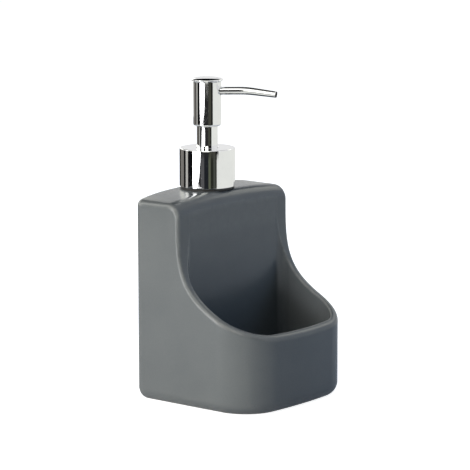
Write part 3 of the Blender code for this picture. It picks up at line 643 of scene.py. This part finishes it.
def glazed_body():
    """The ceramic in one skin, marked on ridges for thin glaze and a painted highlight, in hollows for
    pooled glaze and painted shade, and where its glaze is wiped off.
    """
    xs = grid_axis(-BODY_WIDTH / 2, BODY_WIDTH / 2)
    ys = grid_axis(-BODY_DEPTH / 2, BODY_DEPTH / 2)
    zs = grid_axis(0.0, TANK_SIDE_HEIGHT + TOP_CROWN)
    x, y, z = np.meshgrid(xs, ys, zs, indexing="ij")
    profile = profile_table()
    field = body_distance(x, y, z, profile)
    vertices, quads = skin(field, (xs, ys, zs))
    vertices = settled(vertices, profile)
    made = piece("glazed_body", vertices, quads, "bottle", "grey_glaze", ["ceramic_body"], 60.0)
    bend = bend_of(vertices, profile)
    # The ridge mark carries a painted highlight as well as thin glaze
    float_attribute(made.data, "ridge", np.clip((bend - RIDGE_FROM) / RIDGE_SPAN, 0, 1))
    # The hollow mark carries painted shade as well as pooled glaze
    float_attribute(made.data, "hollow", np.clip((-bend - HOLLOW_FROM) / HOLLOW_SPAN, 0, 1))
    float_attribute(made.data, "foot", np.clip((SOLE_HEIGHT - vertices[:, 2]) / SOLE_FADE, 0, 1))
    cut_by(made, neck_cutter())


# Turned pieces
def around(r, z, angle):
    """The point at a radius, level and angle about the pump's axis."""
    return (r * math.cos(angle), PUMP_Y + r * math.sin(angle), z)


def lathe(profile, steps):
    """Turns a closed profile of (r, z) points about the pump's axis. Points on it become one vertex."""
    vertices = []
    rows = []
    for r, z in profile:
        if r <= 0.0:
            rows.append([len(vertices)] * steps)
            vertices.append((0.0, PUMP_Y, z))
            continue
        rows.append(list(range(len(vertices), len(vertices) + steps)))
        for k in range(steps):
            vertices.append(around(r, z, 2 * math.pi * k / steps))
    faces = []
    count = len(profile)
    for i in range(count):
        low, high = rows[i], rows[(i + 1) % count]
        if profile[i][0] <= 0.0 and profile[(i + 1) % count][0] <= 0.0:
            continue
        for k in range(steps):
            n = (k + 1) % steps
            face = []
            for index in (low[k], low[n], high[n], high[k]):
                if index not in face:
                    face.append(index)
            faces.append(face)
    return np.array(vertices), faces


def softened(profile):
    """A closed profile of (r, z, corner radius) with each corner turned into an arc."""
    points = []
    count = len(profile)
    for i, (r, z, radius) in enumerate(profile):
        here = np.array([r, z])
        before = np.array(profile[i - 1][:2])
        after = np.array(profile[(i + 1) % count][:2])
        to_before, to_after = before - here, after - here
        length_before, length_after = np.hypot(*to_before), np.hypot(*to_after)
        if radius <= 0 or r <= 0 or length_before == 0 or length_after == 0:
            points.append((r, z))
            continue
        u, v = to_before / length_before, to_after / length_after
        half = math.acos(float(np.clip(u @ v, -1, 1))) / 2
        reach = min(radius / math.tan(half), 0.49 * length_before, 0.49 * length_after)
        first, last = here + u * reach, here + v * reach
        middle = here * 0.9 + (first + last) * 0.05
        for t in np.linspace(0.0, 1.0, CORNER_STEPS + 1):
            p = (1 - t) ** 2 * first + 2 * t * (1 - t) * middle + t * t * last
            points.append((max(float(p[0]), 0.0), float(p[1])))
    return points


def arc(r, z, across, up, angles):
    """Points of a profile on an arc, round or oval, about (r, z)."""
    return [(r + across * math.cos(a), z + up * math.sin(a)) for a in angles]


def edged(points, edge=FINE_EDGE):
    """A profile of (r, z) with the same small rounding at each corner."""
    return [(r, z, edge) for r, z in points]


def turned(name, profile, body, slot, nodes, steps=TURN_STEPS):
    vertices, faces = lathe(softened(profile), steps)
    return weighted(piece(name, vertices, faces, body, slot, nodes))


def ring_piece(name, inner, outer, body, slot, node, steps=FINE_TURN_STEPS):
    """A plain ring at the levels of its solid."""
    low, top = levels_of(node)
    edge = min(FINE_EDGE, (top - low) * 0.4, (outer - inner) * 0.3)
    profile = edged([(inner, low), (outer, low), (outer, top), (inner, top)], edge)
    return turned(name, profile, body, slot, [node], steps)


# Pump, level by level from the solids' own boxes
def collar():
    """Sleeve and nut of the screw collar, the guide tube, and the two gaskets under them."""
    radius, low, top, _ = box_of("collar_shell")
    inner = radius - SHELL_WALL
    hole = GUIDE_RADIUS + GAP
    sleeve = edged([(inner, low), (radius, low)]) + [(radius, top, COLLAR_EDGE)]
    sleeve += edged([(hole, top), (hole, top - SHELL_WALL), (inner, top - SHELL_WALL)])
    turned("collar_sleeve", sleeve, "collar", "chrome", ["collar_shell"])
    outer, low, top, _ = box_of("closure_nut")
    bore = outer - NUT_WALL
    disc = top - NUT_DISC
    throat = STEM_RADIUS + GUIDE_WALL
    nut = [
        (bore, low, FINE_EDGE * 2),
        (outer, low, FINE_EDGE),
        (outer, top, FINE_EDGE * 2),
        (throat, top, FINE_EDGE),
        (throat, disc, FINE_EDGE),
        (bore, disc, FINE_EDGE * 2),
    ]
    turned("screw_nut", nut, "collar", "white_plastic", ["closure_nut"])
    flange, low, top, _ = box_of("guide_tube")
    bore = GUIDE_RADIUS - GUIDE_WALL
    step = low + GUIDE_FLANGE
    guide = [(bore, low), (flange, low), (flange, step)]
    guide += [(GUIDE_RADIUS, step), (GUIDE_RADIUS, top), (bore, top)]
    turned("guide_sleeve", edged(guide), "pump", "chrome", ["guide_tube"])
    for name, width, body, node in (
        ("collar_gasket", GASKET_WIDTH, "bottle", "neck_gasket"),
        ("sealing_washer", NECK_WALL, "pump", "flange_gasket"),
    ):
        outer = box_of(node)[0]
        ring_piece(name, outer - width, outer, body, "black_rubber", node, TURN_STEPS)


def neck():
    """Threaded neck: flange and spigot, and a raised thread that fades in and out at its ends."""
    crest, low, top, _ = box_of("neck_insert")
    wall = crest - THREAD_HEIGHT
    bore = wall - NECK_WALL
    flange_low = levels_of("collar_shell")[0]
    flange_top = flange_low + NECK_FLANGE
    spigot = wall - NECK_WALL / 4 - GAP
    steps = TURN_STEPS
    rows = THREAD_ROWS
    start = flange_top + GAP
    thread_low = start + THREAD_PITCH / 4
    thread_high = top - THREAD_PITCH / 4
    vertices = []
    for i in range(rows + 1):
        z = start + (top - start) * i / rows
        for k in range(steps):
            turn = k / steps
            phase = ((z - thread_low) / THREAD_PITCH - turn) % 1.0
            bump = max(0.0, 1.0 - abs(phase - 0.5) / THREAD_FOOT_SHARE)
            fade = min(1.0, max(0.0, (z - thread_low) / (THREAD_PITCH / 4)))
            fade = min(fade, max(0.0, (thread_high - z) / (THREAD_PITCH / 4)))
            flank = min(1.0, bump / THREAD_SLOPE_SHARE)
            r = wall + THREAD_HEIGHT * flank * flank * (3 - 2 * flank) * fade
            if i == rows:
                r = wall - FINE_EDGE
            vertices.append(around(r, z, 2 * math.pi * turn))
    outline = [
        (wall, flange_top),
        (crest - FINE_EDGE, flange_top),
        (crest, flange_top - FINE_EDGE),
        (crest, flange_low + FINE_EDGE),
        (crest - FINE_EDGE, flange_low),
        (spigot, flange_low),
        (spigot, low + FINE_EDGE * 2),
        (spigot - FINE_EDGE * 2, low),
        (bore, low),
        (bore, top - FINE_EDGE),
        (bore + FINE_EDGE, top),
    ]
    for r, z in outline:
        for k in range(steps):
            vertices.append(around(r, z, 2 * math.pi * k / steps))
    order = list(range(rows, -1, -1)) + list(range(rows + 1, rows + 1 + len(outline)))
    faces = []
    for i, one in enumerate(order):
        other = order[(i + 1) % len(order)]
        for k in range(steps):
            n = (k + 1) % steps
            faces.append((one * steps + k, one * steps + n, other * steps + n, other * steps + k))
    return piece("threaded_neck", vertices, faces, "bottle", "white_plastic", ["neck_insert"], 30.0)


def head():
    """Barrel, cap and core of the press head, and its spout."""
    radius, low, top, _ = box_of("head_barrel")
    inner = GUIDE_RADIUS + GAP * 2
    rounding = [
        (radius - BARREL_EDGE * (1 - math.sin(a)), low + BARREL_EDGE * (1 - math.cos(a)))
        for a in np.linspace(0, math.pi / 2, 12)
    ]
    profile = [(inner, low + FINE_EDGE), (inner + FINE_EDGE, low)] + rounding
    profile += [(radius, top - FINE_EDGE), (radius - FINE_EDGE, top), (inner, top)]
    vertices, faces = lathe(profile, TURN_STEPS)
    barrel = weighted(piece("press_barrel", vertices, faces, "head", "chrome", ["head_barrel"]))
    cut_way(barrel, radius * 0.5, radius * 1.5, SPOUT_ROOT_RADIUS + SLIM_GAP)
    cap_radius, cap_low, cap_top, _ = box_of("head_cap")
    rim_z = CAP_Z + CAP_RIM
    spigot = radius - HEAD_WALL - GAP
    under = [(0.0, cap_low), (spigot - FINE_EDGE, cap_low), (spigot, cap_low + FINE_EDGE), (spigot, CAP_Z)]
    rim = arc(cap_radius - CAP_RIM, rim_z, CAP_RIM, CAP_RIM, np.linspace(-math.pi / 2, 0.0, 8))
    dome = arc(0.0, rim_z, cap_radius, cap_top - rim_z, np.linspace(0.0, math.pi / 2, 24)[1:-1])
    vertices, faces = lathe(under + rim + dome + [(0.0, cap_top)], TURN_STEPS)
    piece("press_cap", vertices, faces, "head", "chrome", ["head_cap"], 50.0)
    core_radius, core_low, core_top, _ = box_of("head_core")
    bore = STEM_RADIUS + SLIM_GAP
    core_step = core_low + CORE_BOSS_LENGTH
    blind = core_top - CAP_SPIGOT
    core = [(bore, core_low), (CORE_BOSS_RADIUS, core_low), (CORE_BOSS_RADIUS, core_step)]
    core = edged(core + [(core_radius, core_step), (core_radius, core_top)])
    core += [(0.0, core_top, 0.0), (0.0, blind, 0.0), (bore, blind, 0.0)]
    made = turned("press_core", core, "head", "white_plastic", ["head_core"])
    cut_way(made, SPOUT_ROOT_REACH - GAP * 3, radius * 1.5, SPOUT_ROOT_RADIUS + SLIM_GAP)
    nozzle()


def spout_path(reaches):
    """Points along the middle of the spout: rising a little, then bent down towards the tip."""
    swivel = math.radians(SPOUT_SWIVEL_DEG)
    ahead = (math.sin(swivel), -math.cos(swivel))
    rise = SPOUT_RISE / (SPOUT_BEND_REACH - SPOUT_ROOT_REACH)
    fall = SPOUT_TIP_DROP / (SPOUT_TIP_REACH - SPOUT_BEND_REACH)
    points = []
    for reach in reaches:
        past = (reach - SPOUT_BEND_REACH) / SPOUT_BEND_LENGTH
        if past <= -0.5:
            bent = 0.0
        elif past >= 0.5:
            bent = reach - SPOUT_BEND_REACH
        else:
            bent = SPOUT_BEND_LENGTH * (past + 0.5) ** 2 / 2
        z = SPOUT_Z + rise * (reach - SPOUT_ROOT_REACH) - (rise + fall) * bent
        points.append((ahead[0] * reach, PUMP_Y + ahead[1] * reach, z))
    return points


def spout_radius(reach):
    if reach < SPOUT_BEND_REACH:
        share = max(0.0, (reach - SPOUT_ROOT_REACH) / (SPOUT_BEND_REACH - SPOUT_ROOT_REACH))
        return SPOUT_ROOT_RADIUS + (SPOUT_BEND_RADIUS - SPOUT_ROOT_RADIUS) * share
    share = (reach - SPOUT_BEND_REACH) / (SPOUT_TIP_REACH - SPOUT_BEND_REACH)
    return SPOUT_BEND_RADIUS + (SPOUT_TIP_RADIUS - SPOUT_BEND_RADIUS) * share


def swept(path, radii, steps):
    """Rings of points round a path in one upright plane, one for each of its points."""
    path = [Vector(p) for p in path]
    rings = []
    for i, (point, radius) in enumerate(zip(path, radii)):
        along = (path[min(i + 1, len(path) - 1)] - path[max(i - 1, 0)]).normalized()
        side = along.cross(Vector((0.0, 0.0, 1.0))).normalized()
        over = side.cross(along).normalized()
        for k in range(steps):
            a = 2 * math.pi * k / steps
            rings.append(tuple(point + side * (radius * math.cos(a)) + over * (radius * math.sin(a))))
    return rings


def ring_faces(count, steps, closed):
    faces = []
    for i in range(count if closed else count - 1):
        one, other = i * steps, ((i + 1) % count) * steps
        for k in range(steps):
            n = (k + 1) % steps
            faces.append((one + k, one + n, other + n, other + k))
    return faces


def hollow_tube(name, reaches, outer, inner, edge, slot, node):
    """A tube along the spout's line whose two ends are rounded over."""
    steps = FINE_TURN_STEPS
    first, last = reaches[0], reaches[-1]
    middle = reaches[(reaches > first + edge) & (reaches < last - edge)]
    start = [first, first + edge * 0.3, first + edge]
    end = [last - edge, last - edge * 0.3, last]
    out_reach = np.concatenate([start, middle, end])
    inset = np.zeros(len(out_reach))
    inset[0] = inset[-1] = edge
    inset[1] = inset[-2] = edge * 0.3
    run_out = swept(spout_path(out_reach), [outer(r) - i for r, i in zip(out_reach, inset)], steps)
    back = out_reach[::-1]
    run_in = swept(spout_path(back), [inner(r) for r in back], steps)
    faces = ring_faces(len(out_reach) * 2, steps, True)
    return piece(name, run_out + run_in, faces, "head", slot, [node], 50.0)


def nozzle():
    """The chrome tube of the spout, and its dark lining with a small lip over the tube's end."""
    reaches = np.linspace(SPOUT_ROOT_REACH, SPOUT_TIP_REACH, SPOUT_STEPS)
    bore = SPOUT_WALL + SLIM_GAP
    lip = SPOUT_TIP_REACH + LINER_LIP_GAP

    def tube_bore(reach):
        return spout_radius(reach) - SPOUT_WALL

    def lining(reach):
        return spout_radius(reach) - (SLIM_GAP / 2 if reach >= lip else bore)

    def lining_bore(reach):
        return tube_bore(reach) - SLIM_GAP - LINER_WALL

    hollow_tube("nozzle_tube", reaches, spout_radius, tube_bore, SPOUT_END_EDGE, "chrome", "spout")
    narrow = np.linspace(SPOUT_ROOT_REACH - GAP * 2, lip - LINER_LIP_GAP / 2, SPOUT_STEPS)
    reaches = np.concatenate([narrow, [lip, SPOUT_TIP_REACH + LINER_PROTRUSION]])
    edge = LINER_END_EDGE
    hollow_tube("nozzle_lining", reaches, lining, lining_bore, edge, "black_plastic", "spout_liner")


def cut_way(made, start, end, radius):
    """Cuts a straight round way along the root of the spout."""
    rings = swept(spout_path([start, end]), [radius, radius], FINE_TURN_STEPS)
    faces = ring_faces(2, FINE_TURN_STEPS, False)
    faces.append(tuple(range(FINE_TURN_STEPS))[::-1])
    faces.append(tuple(range(FINE_TURN_STEPS, 2 * FINE_TURN_STEPS)))
    cut_by(made, link_object("way", closed_mesh("way", rings, faces)))


def cut_by(made, tool):
    """Cuts a helper's shape out of a piece for good, before its shading step."""
    step = made.modifiers.new("Cut", "BOOLEAN")
    step.operation = "DIFFERENCE"
    step.solver = "EXACT"
    step.object = tool
    bpy.context.view_layer.objects.active = made
    if len(made.modifiers) > 1:
        bpy.ops.object.modifier_move_to_index(modifier=step.name, index=0)
    bpy.ops.object.modifier_apply(modifier=step.name)
    bpy.data.objects.remove(tool)


def hidden_parts():
    """What the body and the collar hide until the pump is lifted out."""
    flange, low, top, _ = box_of("pump_cylinder")
    body = CYLINDER_RADIUS
    inner = body - CYLINDER_WALL
    bottom = top - CYLINDER_LENGTH
    cone = bottom + CONE_HEIGHT
    flange_low = top - CYLINDER_FLANGE
    tube_top = levels_of("dip_tube")[1]
    socket = DIP_RADIUS + SLIM_GAP
    housing = [
        (body, flange_low, FINE_EDGE),
        (flange, flange_low, FINE_EDGE),
        (flange, top, FINE_EDGE),
        (inner, top, FINE_EDGE),
        (inner, cone + BALL_RADIUS, 0.0),
        (BALL_RADIUS + GAP, cone + BALL_RADIUS / 2, 0.0),
        (BALL_SEAT, cone - BALL_RADIUS / 2, 0.0),
        (BALL_SEAT, tube_top + GAP, 0.0),
        (socket, tube_top + GAP, 0.0),
        (socket, low, FINE_EDGE),
        (SPIGOT_RADIUS, low, FINE_EDGE),
        (SPIGOT_RADIUS, bottom, FINE_EDGE * 2),
        (body, cone, FINE_EDGE * 4),
    ]
    cylinder = turned("pump_housing", housing, "pump", "white_plastic", ["pump_cylinder"])
    vent_z = levels_of("stem_seal")[0] - PISTON_HEIGHT / 2
    vent = bpy.data.meshes.new("vent")
    work = bmesh.new()
    size = {"radius1": VENT_RADIUS, "radius2": VENT_RADIUS, "depth": VENT_CUT_LENGTH}
    ends = bmesh.ops.create_cone(work, cap_ends=True, segments=32, **size)["verts"]
    bmesh.ops.rotate(work, verts=ends, cent=(0, 0, 0), matrix=Matrix.Rotation(math.pi / 2, 3, "X"))
    bmesh.ops.translate(work, verts=ends, vec=(0.0, PUMP_Y + body - CYLINDER_WALL / 2, vent_z))
    work.to_mesh(vent)
    work.free()
    cut_by(cylinder, link_object("vent", vent))
    bush = inner - GAP
    bore = STEM_RADIUS + GAP
    stem = STEM_RADIUS - STEM_WALL
    for name, one, other, on, slot, node in (
        ("stem_guide", bore, bush, "pump", "white_plastic", "stem_bush"),
        ("stem_wiper", bore, bush, "pump", "black_rubber", "stem_seal"),
        ("hollow_stem", stem, STEM_RADIUS, "plunger", "white_plastic", "piston_stem"),
        ("suction_tube", DIP_RADIUS - DIP_WALL, DIP_RADIUS, "pump", "milky_plastic", "dip_tube"),
    ):
        ring_piece(name, one, other, on, slot, node)
    double_piston()
    valve()
    wire_coil()


def double_piston():
    """The piston with its two lips, which lean outwards to the cylinder's wall."""
    radius, low, top, _ = box_of("piston")
    hold = STEM_RADIUS + SLIM_GAP
    lip = PISTON_LIP
    waist = radius - lip
    fine = PISTON_EDGE
    lower = [(waist - lip, low, fine), (waist - lip, low + lip, fine), (radius - lip / 2, low, fine)]
    lower += [(radius, low + lip, fine * 2), (waist, low + lip * 2, fine)]
    upper = [(waist, top - lip * 2, fine), (radius, top - lip, fine * 2), (radius - lip / 2, top, fine)]
    upper += [(waist - lip, top - lip, fine), (waist - lip, top, fine)]
    profile = [(hold, low, fine)] + lower + upper + [(hold, top, fine)]
    turned("double_piston", profile, "plunger", "white_plastic", ["piston"], FINE_TURN_STEPS)


def valve():
    """The loose ball and the four-legged cage over it."""
    radius, low, top, _ = box_of("valve_ball")
    middle = (low + top) / 2
    half = arc(0.0, middle, radius, radius, np.linspace(-math.pi / 2, math.pi / 2, 33)[1:-1])
    vertices, faces = lathe([(0.0, low)] + half + [(0.0, top)], FINE_TURN_STEPS)
    piece("check_valve_ball", vertices, faces, "check_ball", "steel", ["valve_ball"])
    outer, low, top, _ = box_of("ball_cage")
    ceiling = top - CAGE_THICKNESS
    wall = CYLINDER_WALL
    inner = outer - wall
    bell = [(inner, low), (outer, low), (outer, top)]
    bell += [(BALL_SEAT, top), (BALL_SEAT, ceiling), (inner, ceiling)]
    made = turned("valve_cage", edged(bell), "pump", "white_plastic", ["ball_cage"], FINE_TURN_STEPS)
    far, near = CYLINDER_RADIUS, BALL_RADIUS / 2
    corners = [(near, near), (near, far), (-near, far), (-near, near), (-far, near), (-far, -near)]
    cross = corners + [(-x, -y) for x, y in corners]
    turn = math.radians(CAGE_TURN_DEG)
    vertices = []
    for z in (low - wall, ceiling - GAP):
        for x, y in cross:
            turned_x = x * math.cos(turn) - y * math.sin(turn)
            turned_y = x * math.sin(turn) + y * math.cos(turn)
            vertices.append((turned_x, PUMP_Y + turned_y, z))
    count = len(cross)
    faces = [tuple(range(count))[::-1], tuple(range(count, 2 * count))] + ring_faces(2, count, False)
    cut_by(made, link_object("slots", closed_mesh("slots", vertices, faces)))


def wire_coil():
    """Round wire spring under the piston, its end turns closed up."""
    _, low, top, _ = box_of("return_spring")
    wire = SPRING_WIRE
    sides = 12
    per_turn = 40
    steps = int(SPRING_TURNS * per_turn)
    start, end = low + wire, top - wire
    closed_pitch = wire * 2 + GAP
    open_rise = (end - start) - 2 * closed_pitch
    vertices = []
    for i in range(steps + 1):
        turn = i / per_turn
        if turn < 1.0:
            z = start + closed_pitch * turn
        elif turn > SPRING_TURNS - 1.0:
            z = end - closed_pitch * (SPRING_TURNS - turn)
        else:
            z = start + closed_pitch + open_rise * (turn - 1.0) / (SPRING_TURNS - 2.0)
        a = 2 * math.pi * turn
        for k in range(sides):
            b = 2 * math.pi * k / sides
            r = SPRING_RADIUS + wire * math.cos(b)
            vertices.append(around(r, z + wire * math.sin(b), a))
    faces = [tuple(range(sides)), tuple(range(steps * sides, (steps + 1) * sides))[::-1]]
    faces += ring_faces(steps + 1, sides, False)
    made = piece("wire_coil", vertices, faces, "pump", "steel", ["return_spring"], 60.0)
    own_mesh(made)


def camera():
    data = bpy.data.cameras.new("camera")
    data.sensor_width = SENSOR_MM
    data.lens = SENSOR_MM * FOCAL_PIXELS / PICTURE_SIDE
    middle = PICTURE_SIDE / 2
    data.shift_x = (middle - TARGET_PIXEL[0]) / PICTURE_SIDE
    data.shift_y = (TARGET_PIXEL[1] - middle) / PICTURE_SIDE
    data.clip_start, data.clip_end = CLIP_RANGE
    made = link_object("camera", data)
    back = direction(CAMERA_AZIMUTH_DEG, CAMERA_ELEVATION_DEG)
    made.location = Vector(CAMERA_TARGET) + back * CAMERA_DISTANCE
    made.rotation_mode = "QUATERNION"
    made.rotation_quaternion = (-back).to_track_quat("-Z", "Y")
    bpy.context.scene.camera = made


# Stage
MIDDLE = Vector((0.0, 0.0, 0.09))
FLOOR_REACH = 6.0
FLOOR_COLOUR = (0.62, 0.66, 0.72)
FLOOR_SEEN = 0.95
FLOOR_MIRRORED = 0.15
SKY_COLOUR = (0.82, 0.92, 1.0)
SKY_LIGHT = 0.125
SKY_SEEN = 1.0
SKY_MIRRORED = 0.85
LAMP_DISTANCE = 1.3
SOFT_BOX = (0.9, 0.9)
LOW_BOX = (0.25, 0.12)
LAMPS = (
    ("key", -103.0, 17.0, SOFT_BOX, 18.6, (1.0, 0.90, 0.76)),
    ("low_key", -86.0, 5.0, LOW_BOX, 3.6, (1.0, 0.97, 0.94)),
    ("fill", 50.0, 20.0, SOFT_BOX, 3.6, (0.52, 0.72, 1.0)),
    ("back", 150.0, 30.0, SOFT_BOX, 4.0, (0.85, 0.93, 1.0)),
)
CARD_DISTANCE = 0.45
CARD_BACKING = 0.02
CARD_FRONTING = 0.002
STRIP_STEPS = 12
PLATE_REACH = (0.055, 0.40)

# Levels of the upright cards
FOOT = 0.0005
FOOT_TOP = 0.046
COLLAR_TOP = 0.0795
STEP = 0.104
LEVEL = 0.133
TOP = 0.142
TALL = 0.457

# Light of each card
PAINTS = {
    "black": (0.004, 0.004, 0.005),
    "dark": (0.022, 0.022, 0.022),
    "brown": (0.20, 0.19, 0.175),
    "olive": (0.060, 0.060, 0.048),
    "white": (5.0, 5.0, 5.0),
    "cream": (0.50, 0.49, 0.46),
    "pale": (0.84, 0.85, 0.81),
    "bright": (1.95, 1.95, 1.80),
    "soft_white": (3.0, 3.0, 2.85),
    "grey": (0.095, 0.095, 0.100),
    "low_black": (0.014, 0.016, 0.020),
    "low_olive": (0.105, 0.115, 0.080),
    "low_shade": (0.024, 0.026, 0.020),
    "low_light": (0.068, 0.072, 0.062),
}

# Cards: name, first and last azimuth from the camera's own, lowest and highest level, paint
CARDS = (
    ("behind", -180, -143, STEP, TOP, "cream"),
    ("back", -180, -143, FOOT, STEP, "black"),
    ("left", -143, -112, FOOT, TOP, "brown"),
    ("shade", -112, -99, FOOT, TOP, "black"),
    ("strip", -99, -86, FOOT, TOP, "cream"),
    ("grey_low", -27, -12, FOOT, COLLAR_TOP, "grey"),
    ("front_low", -12, 5, FOOT, COLLAR_TOP, "low_black"),
    ("olive_low", 5, 14, FOOT, COLLAR_TOP, "low_olive"),
    ("shade_low", 14, 25, FOOT, COLLAR_TOP, "low_shade"),
    ("light_low", 25, 34, FOOT, COLLAR_TOP, "low_light"),
    ("edge_low", 34, 39, FOOT, COLLAR_TOP, "low_shade"),
    ("pale_low", 39, 47, FOOT, COLLAR_TOP, "pale"),
    ("front", -23, 9, COLLAR_TOP, LEVEL, "dark"),
    ("olive", 9, 34, COLLAR_TOP, LEVEL, "olive"),
    ("pale", 47, 180, FOOT, TOP, "pale"),
    ("key_tall", -61, -45, LEVEL, TALL, "white"),
    ("front_tall", -20.5, 9, LEVEL, TALL, "bright"),
)

# White cards with slanted sides: level, first and last azimuth there
SLANTED_CARDS = {
    "card_key_low": (
        (FOOT, -61, -50),
        (0.050, -61, -50),
        (0.060, -61, -35),
        (0.080, -61, -28),
        (0.0965, -58, -27),
    ),
    "card_key_high": ((0.1005, -55, -54), (0.1074, -60, -31), (0.1128, -61, -24), (LEVEL, -61, -24)),
}

# Parts of a dome: name, first and last azimuth from the camera's own, lowest and highest elevation, paint
HOODS = (
    ("over", -60, 40, 66, 88, "black"),
    ("front", -58, 20, 34, 65, "bright"),
    ("key", -104, -60, 6, 50, "soft_white"),
    ("left", -173, -112, 4, 20, "bright"),
    ("right", -240, -206, 24, 40, "bright"),
)


def direction(azimuth_deg, elevation_deg):
    """Azimuth 0 is the front, and minus 90 the left side."""
    a, e = math.radians(azimuth_deg), math.radians(elevation_deg)
    return Vector((math.sin(a) * math.cos(e), -math.cos(a) * math.cos(e), math.sin(e)))


def lamp(name, azimuth_deg, elevation_deg, size, power, colour):
    """A square or oblong lamp towards the middle, which doesn't show in gloss."""
    data = bpy.data.lights.new(name, "AREA")
    data.shape = "RECTANGLE"
    data.size, data.size_y = size
    data.energy = power
    data.color = colour
    made = link_object(name, data)
    away = direction(azimuth_deg, elevation_deg)
    made.location = MIDDLE + away * LAMP_DISTANCE
    made.rotation_mode = "QUATERNION"
    made.rotation_quaternion = away.to_track_quat("Z", "Y")
    made.visible_glossy = False


def seen_strength(tree, plain, camera, mirrored):
    """A light strength that differs for what the camera sees and for what shows in gloss and glass."""
    path = tree.nodes.new("ShaderNodeLightPath")
    total = plain
    seen = (("Is Camera Ray", camera), ("Is Glossy Ray", mirrored), ("Is Transmission Ray", camera))
    for output, strength in seen:
        step = {0: path.outputs[output], 1: strength - plain, 2: total}
        total = add_node(tree, "ShaderNodeMath", step, operation="MULTIPLY_ADD").outputs[0]
    return total


def floor_paint():
    """Plain matt paint that gives off light where it is seen directly, and a little in gloss."""
    made, tree, shader = new_material("floor_paint")
    shader.inputs["Base Color"].default_value = (*FLOOR_COLOUR, 1.0)
    shader.inputs["Roughness"].default_value = 1.0
    shader.inputs["Specular IOR Level"].default_value = 0.0
    shader.inputs["Emission Color"].default_value = (1.0, 1.0, 1.0, 1.0)
    feed(shader, "Emission Strength", seen_strength(tree, 0.0, FLOOR_SEEN, FLOOR_MIRRORED))
    return made


def card_paint(name, colour):
    """Even light of one colour."""
    made = bpy.data.materials.new(name)
    made.use_nodes = True
    tree = made.node_tree
    tree.nodes.remove(tree.nodes["Principled BSDF"])
    light = add_node(tree, "ShaderNodeEmission", {"Color": (*colour, 1.0)})
    tree.links.new(light.outputs["Emission"], tree.nodes["Material Output"].inputs["Surface"])
    return made


def world():
    """Even sky: a soft tint where it lights, white where it is seen."""
    made = bpy.data.worlds.new("studio")
    bpy.context.scene.world = made
    made.use_nodes = True
    tree = made.node_tree
    background = tree.nodes["Background"]
    path = tree.nodes.new("ShaderNodeLightPath")
    feed(background, "Color", mixed(tree, path.outputs["Is Diffuse Ray"], (1.0, 1.0, 1.0), SKY_COLOUR))
    feed(background, "Strength", seen_strength(tree, SKY_LIGHT, SKY_SEEN, SKY_MIRRORED))


def glossy_only(name, vertices, faces, look):
    """A lit or dark surface of the stage that shows in glossy surfaces only."""
    mesh = new_mesh(name, vertices, faces)
    mesh.materials.append(look)
    made = link_object(name, mesh)
    made.visible_camera = False
    made.visible_diffuse = False
    made.visible_shadow = False
    made.visible_transmission = False


def strip_faces():
    return [(2 * i, 2 * i + 2, 2 * i + 3, 2 * i + 1) for i in range(STRIP_STEPS)]


def card(name, foot_degs, top_degs, low, high, look, behind=0.0):
    """An upright curved card round the pump. Angles are azimuths from the camera's own."""
    vertices = []
    for i in range(STRIP_STEPS + 1):
        for z, (start, end) in ((low, foot_degs), (high, top_degs)):
            spot = direction(CAMERA_AZIMUTH_DEG + start + (end - start) * i / STRIP_STEPS, 0.0)
            spot = spot * (CARD_DISTANCE + behind)
            vertices.append((spot.x, PUMP_Y + spot.y, z))
    glossy_only(name, vertices, strip_faces(), look)


def plate(name, from_deg, to_deg, near, far, look):
    """A flat part of a ring just over the floor, between two azimuths from the camera's own."""
    vertices = []
    for i in range(STRIP_STEPS + 1):
        spot = direction(CAMERA_AZIMUTH_DEG + from_deg + (to_deg - from_deg) * i / STRIP_STEPS, 0.0)
        vertices += [(spot.x * reach, spot.y * reach, FOOT) for reach in (near, far)]
    glossy_only(name, vertices, strip_faces(), look)


def hood(name, from_deg, to_deg, low_deg, high_deg, look):
    """A part of a dome over the pump, between two azimuths from the camera's own and two elevations."""
    columns, rows = 24, 8
    vertices = []
    for i in range(columns + 1):
        for j in range(rows + 1):
            azimuth = CAMERA_AZIMUTH_DEG + from_deg + (to_deg - from_deg) * i / columns
            spot = direction(azimuth, low_deg + (high_deg - low_deg) * j / rows) * CARD_DISTANCE * 2
            vertices.append((spot.x, PUMP_Y + spot.y, SPOUT_Z + spot.z))
    faces = []
    for i in range(columns):
        for j in range(rows):
            one = i * (rows + 1) + j
            faces.append((one, one + rows + 1, one + rows + 2, one + 1))
    glossy_only(name, vertices, faces, look)


def stage():
    """Floor, cards, lamps and sky. Each card is set where its light shows in the chrome."""
    reach = FLOOR_REACH
    corners = [(x * reach, y * reach, 0.0) for x, y in ((-1, -1), (1, -1), (1, 1), (-1, 1))]
    mesh = new_mesh("floor", corners, [(0, 1, 2, 3)])
    mesh.materials.append(floor_paint())
    link_object("floor", mesh)
    paints = {name: card_paint(f"{name}_card", colour) for name, colour in PAINTS.items()}
    card("card_backing", (-86, 47), (-86, 47), FOOT, TALL, paints["black"], CARD_BACKING)
    for name, start, end, low, high, paint in CARDS:
        card(f"card_{name}", (start, end), (start, end), low, high, paints[paint])
    for name, edges in SLANTED_CARDS.items():
        for tier, (foot, top) in enumerate(zip(edges[:-1], edges[1:])):
            card(f"{name}_{tier}", foot[1:], top[1:], foot[0], top[0], paints["white"], -CARD_FRONTING)
    hood("hood_back", -205, -104, 24, 88, paints["black"])
    card("card_foot", (-104, -61), (-104, -61), FOOT, FOOT_TOP, paints["pale"], -CARD_BACKING)
    plate("floor_plate", -52, 6, *PLATE_REACH, paints["pale"])
    for name, start, end, low, high, paint in HOODS:
        hood(f"hood_{name}", start, end, low, high, paints[paint])
    for settings in LAMPS:
        lamp(*settings)
    world()


def main():
    bpy.context.scene.view_settings.view_transform = "Standard"
    camera()
    stage()
    LOOKS["grey_glaze"] = satin_glaze()
    for slot, settings in SURFACES.items():
        LOOKS[slot] = surface(*settings)
    glazed_body()
    neck()
    collar()
    head()
    hidden_parts()


main()
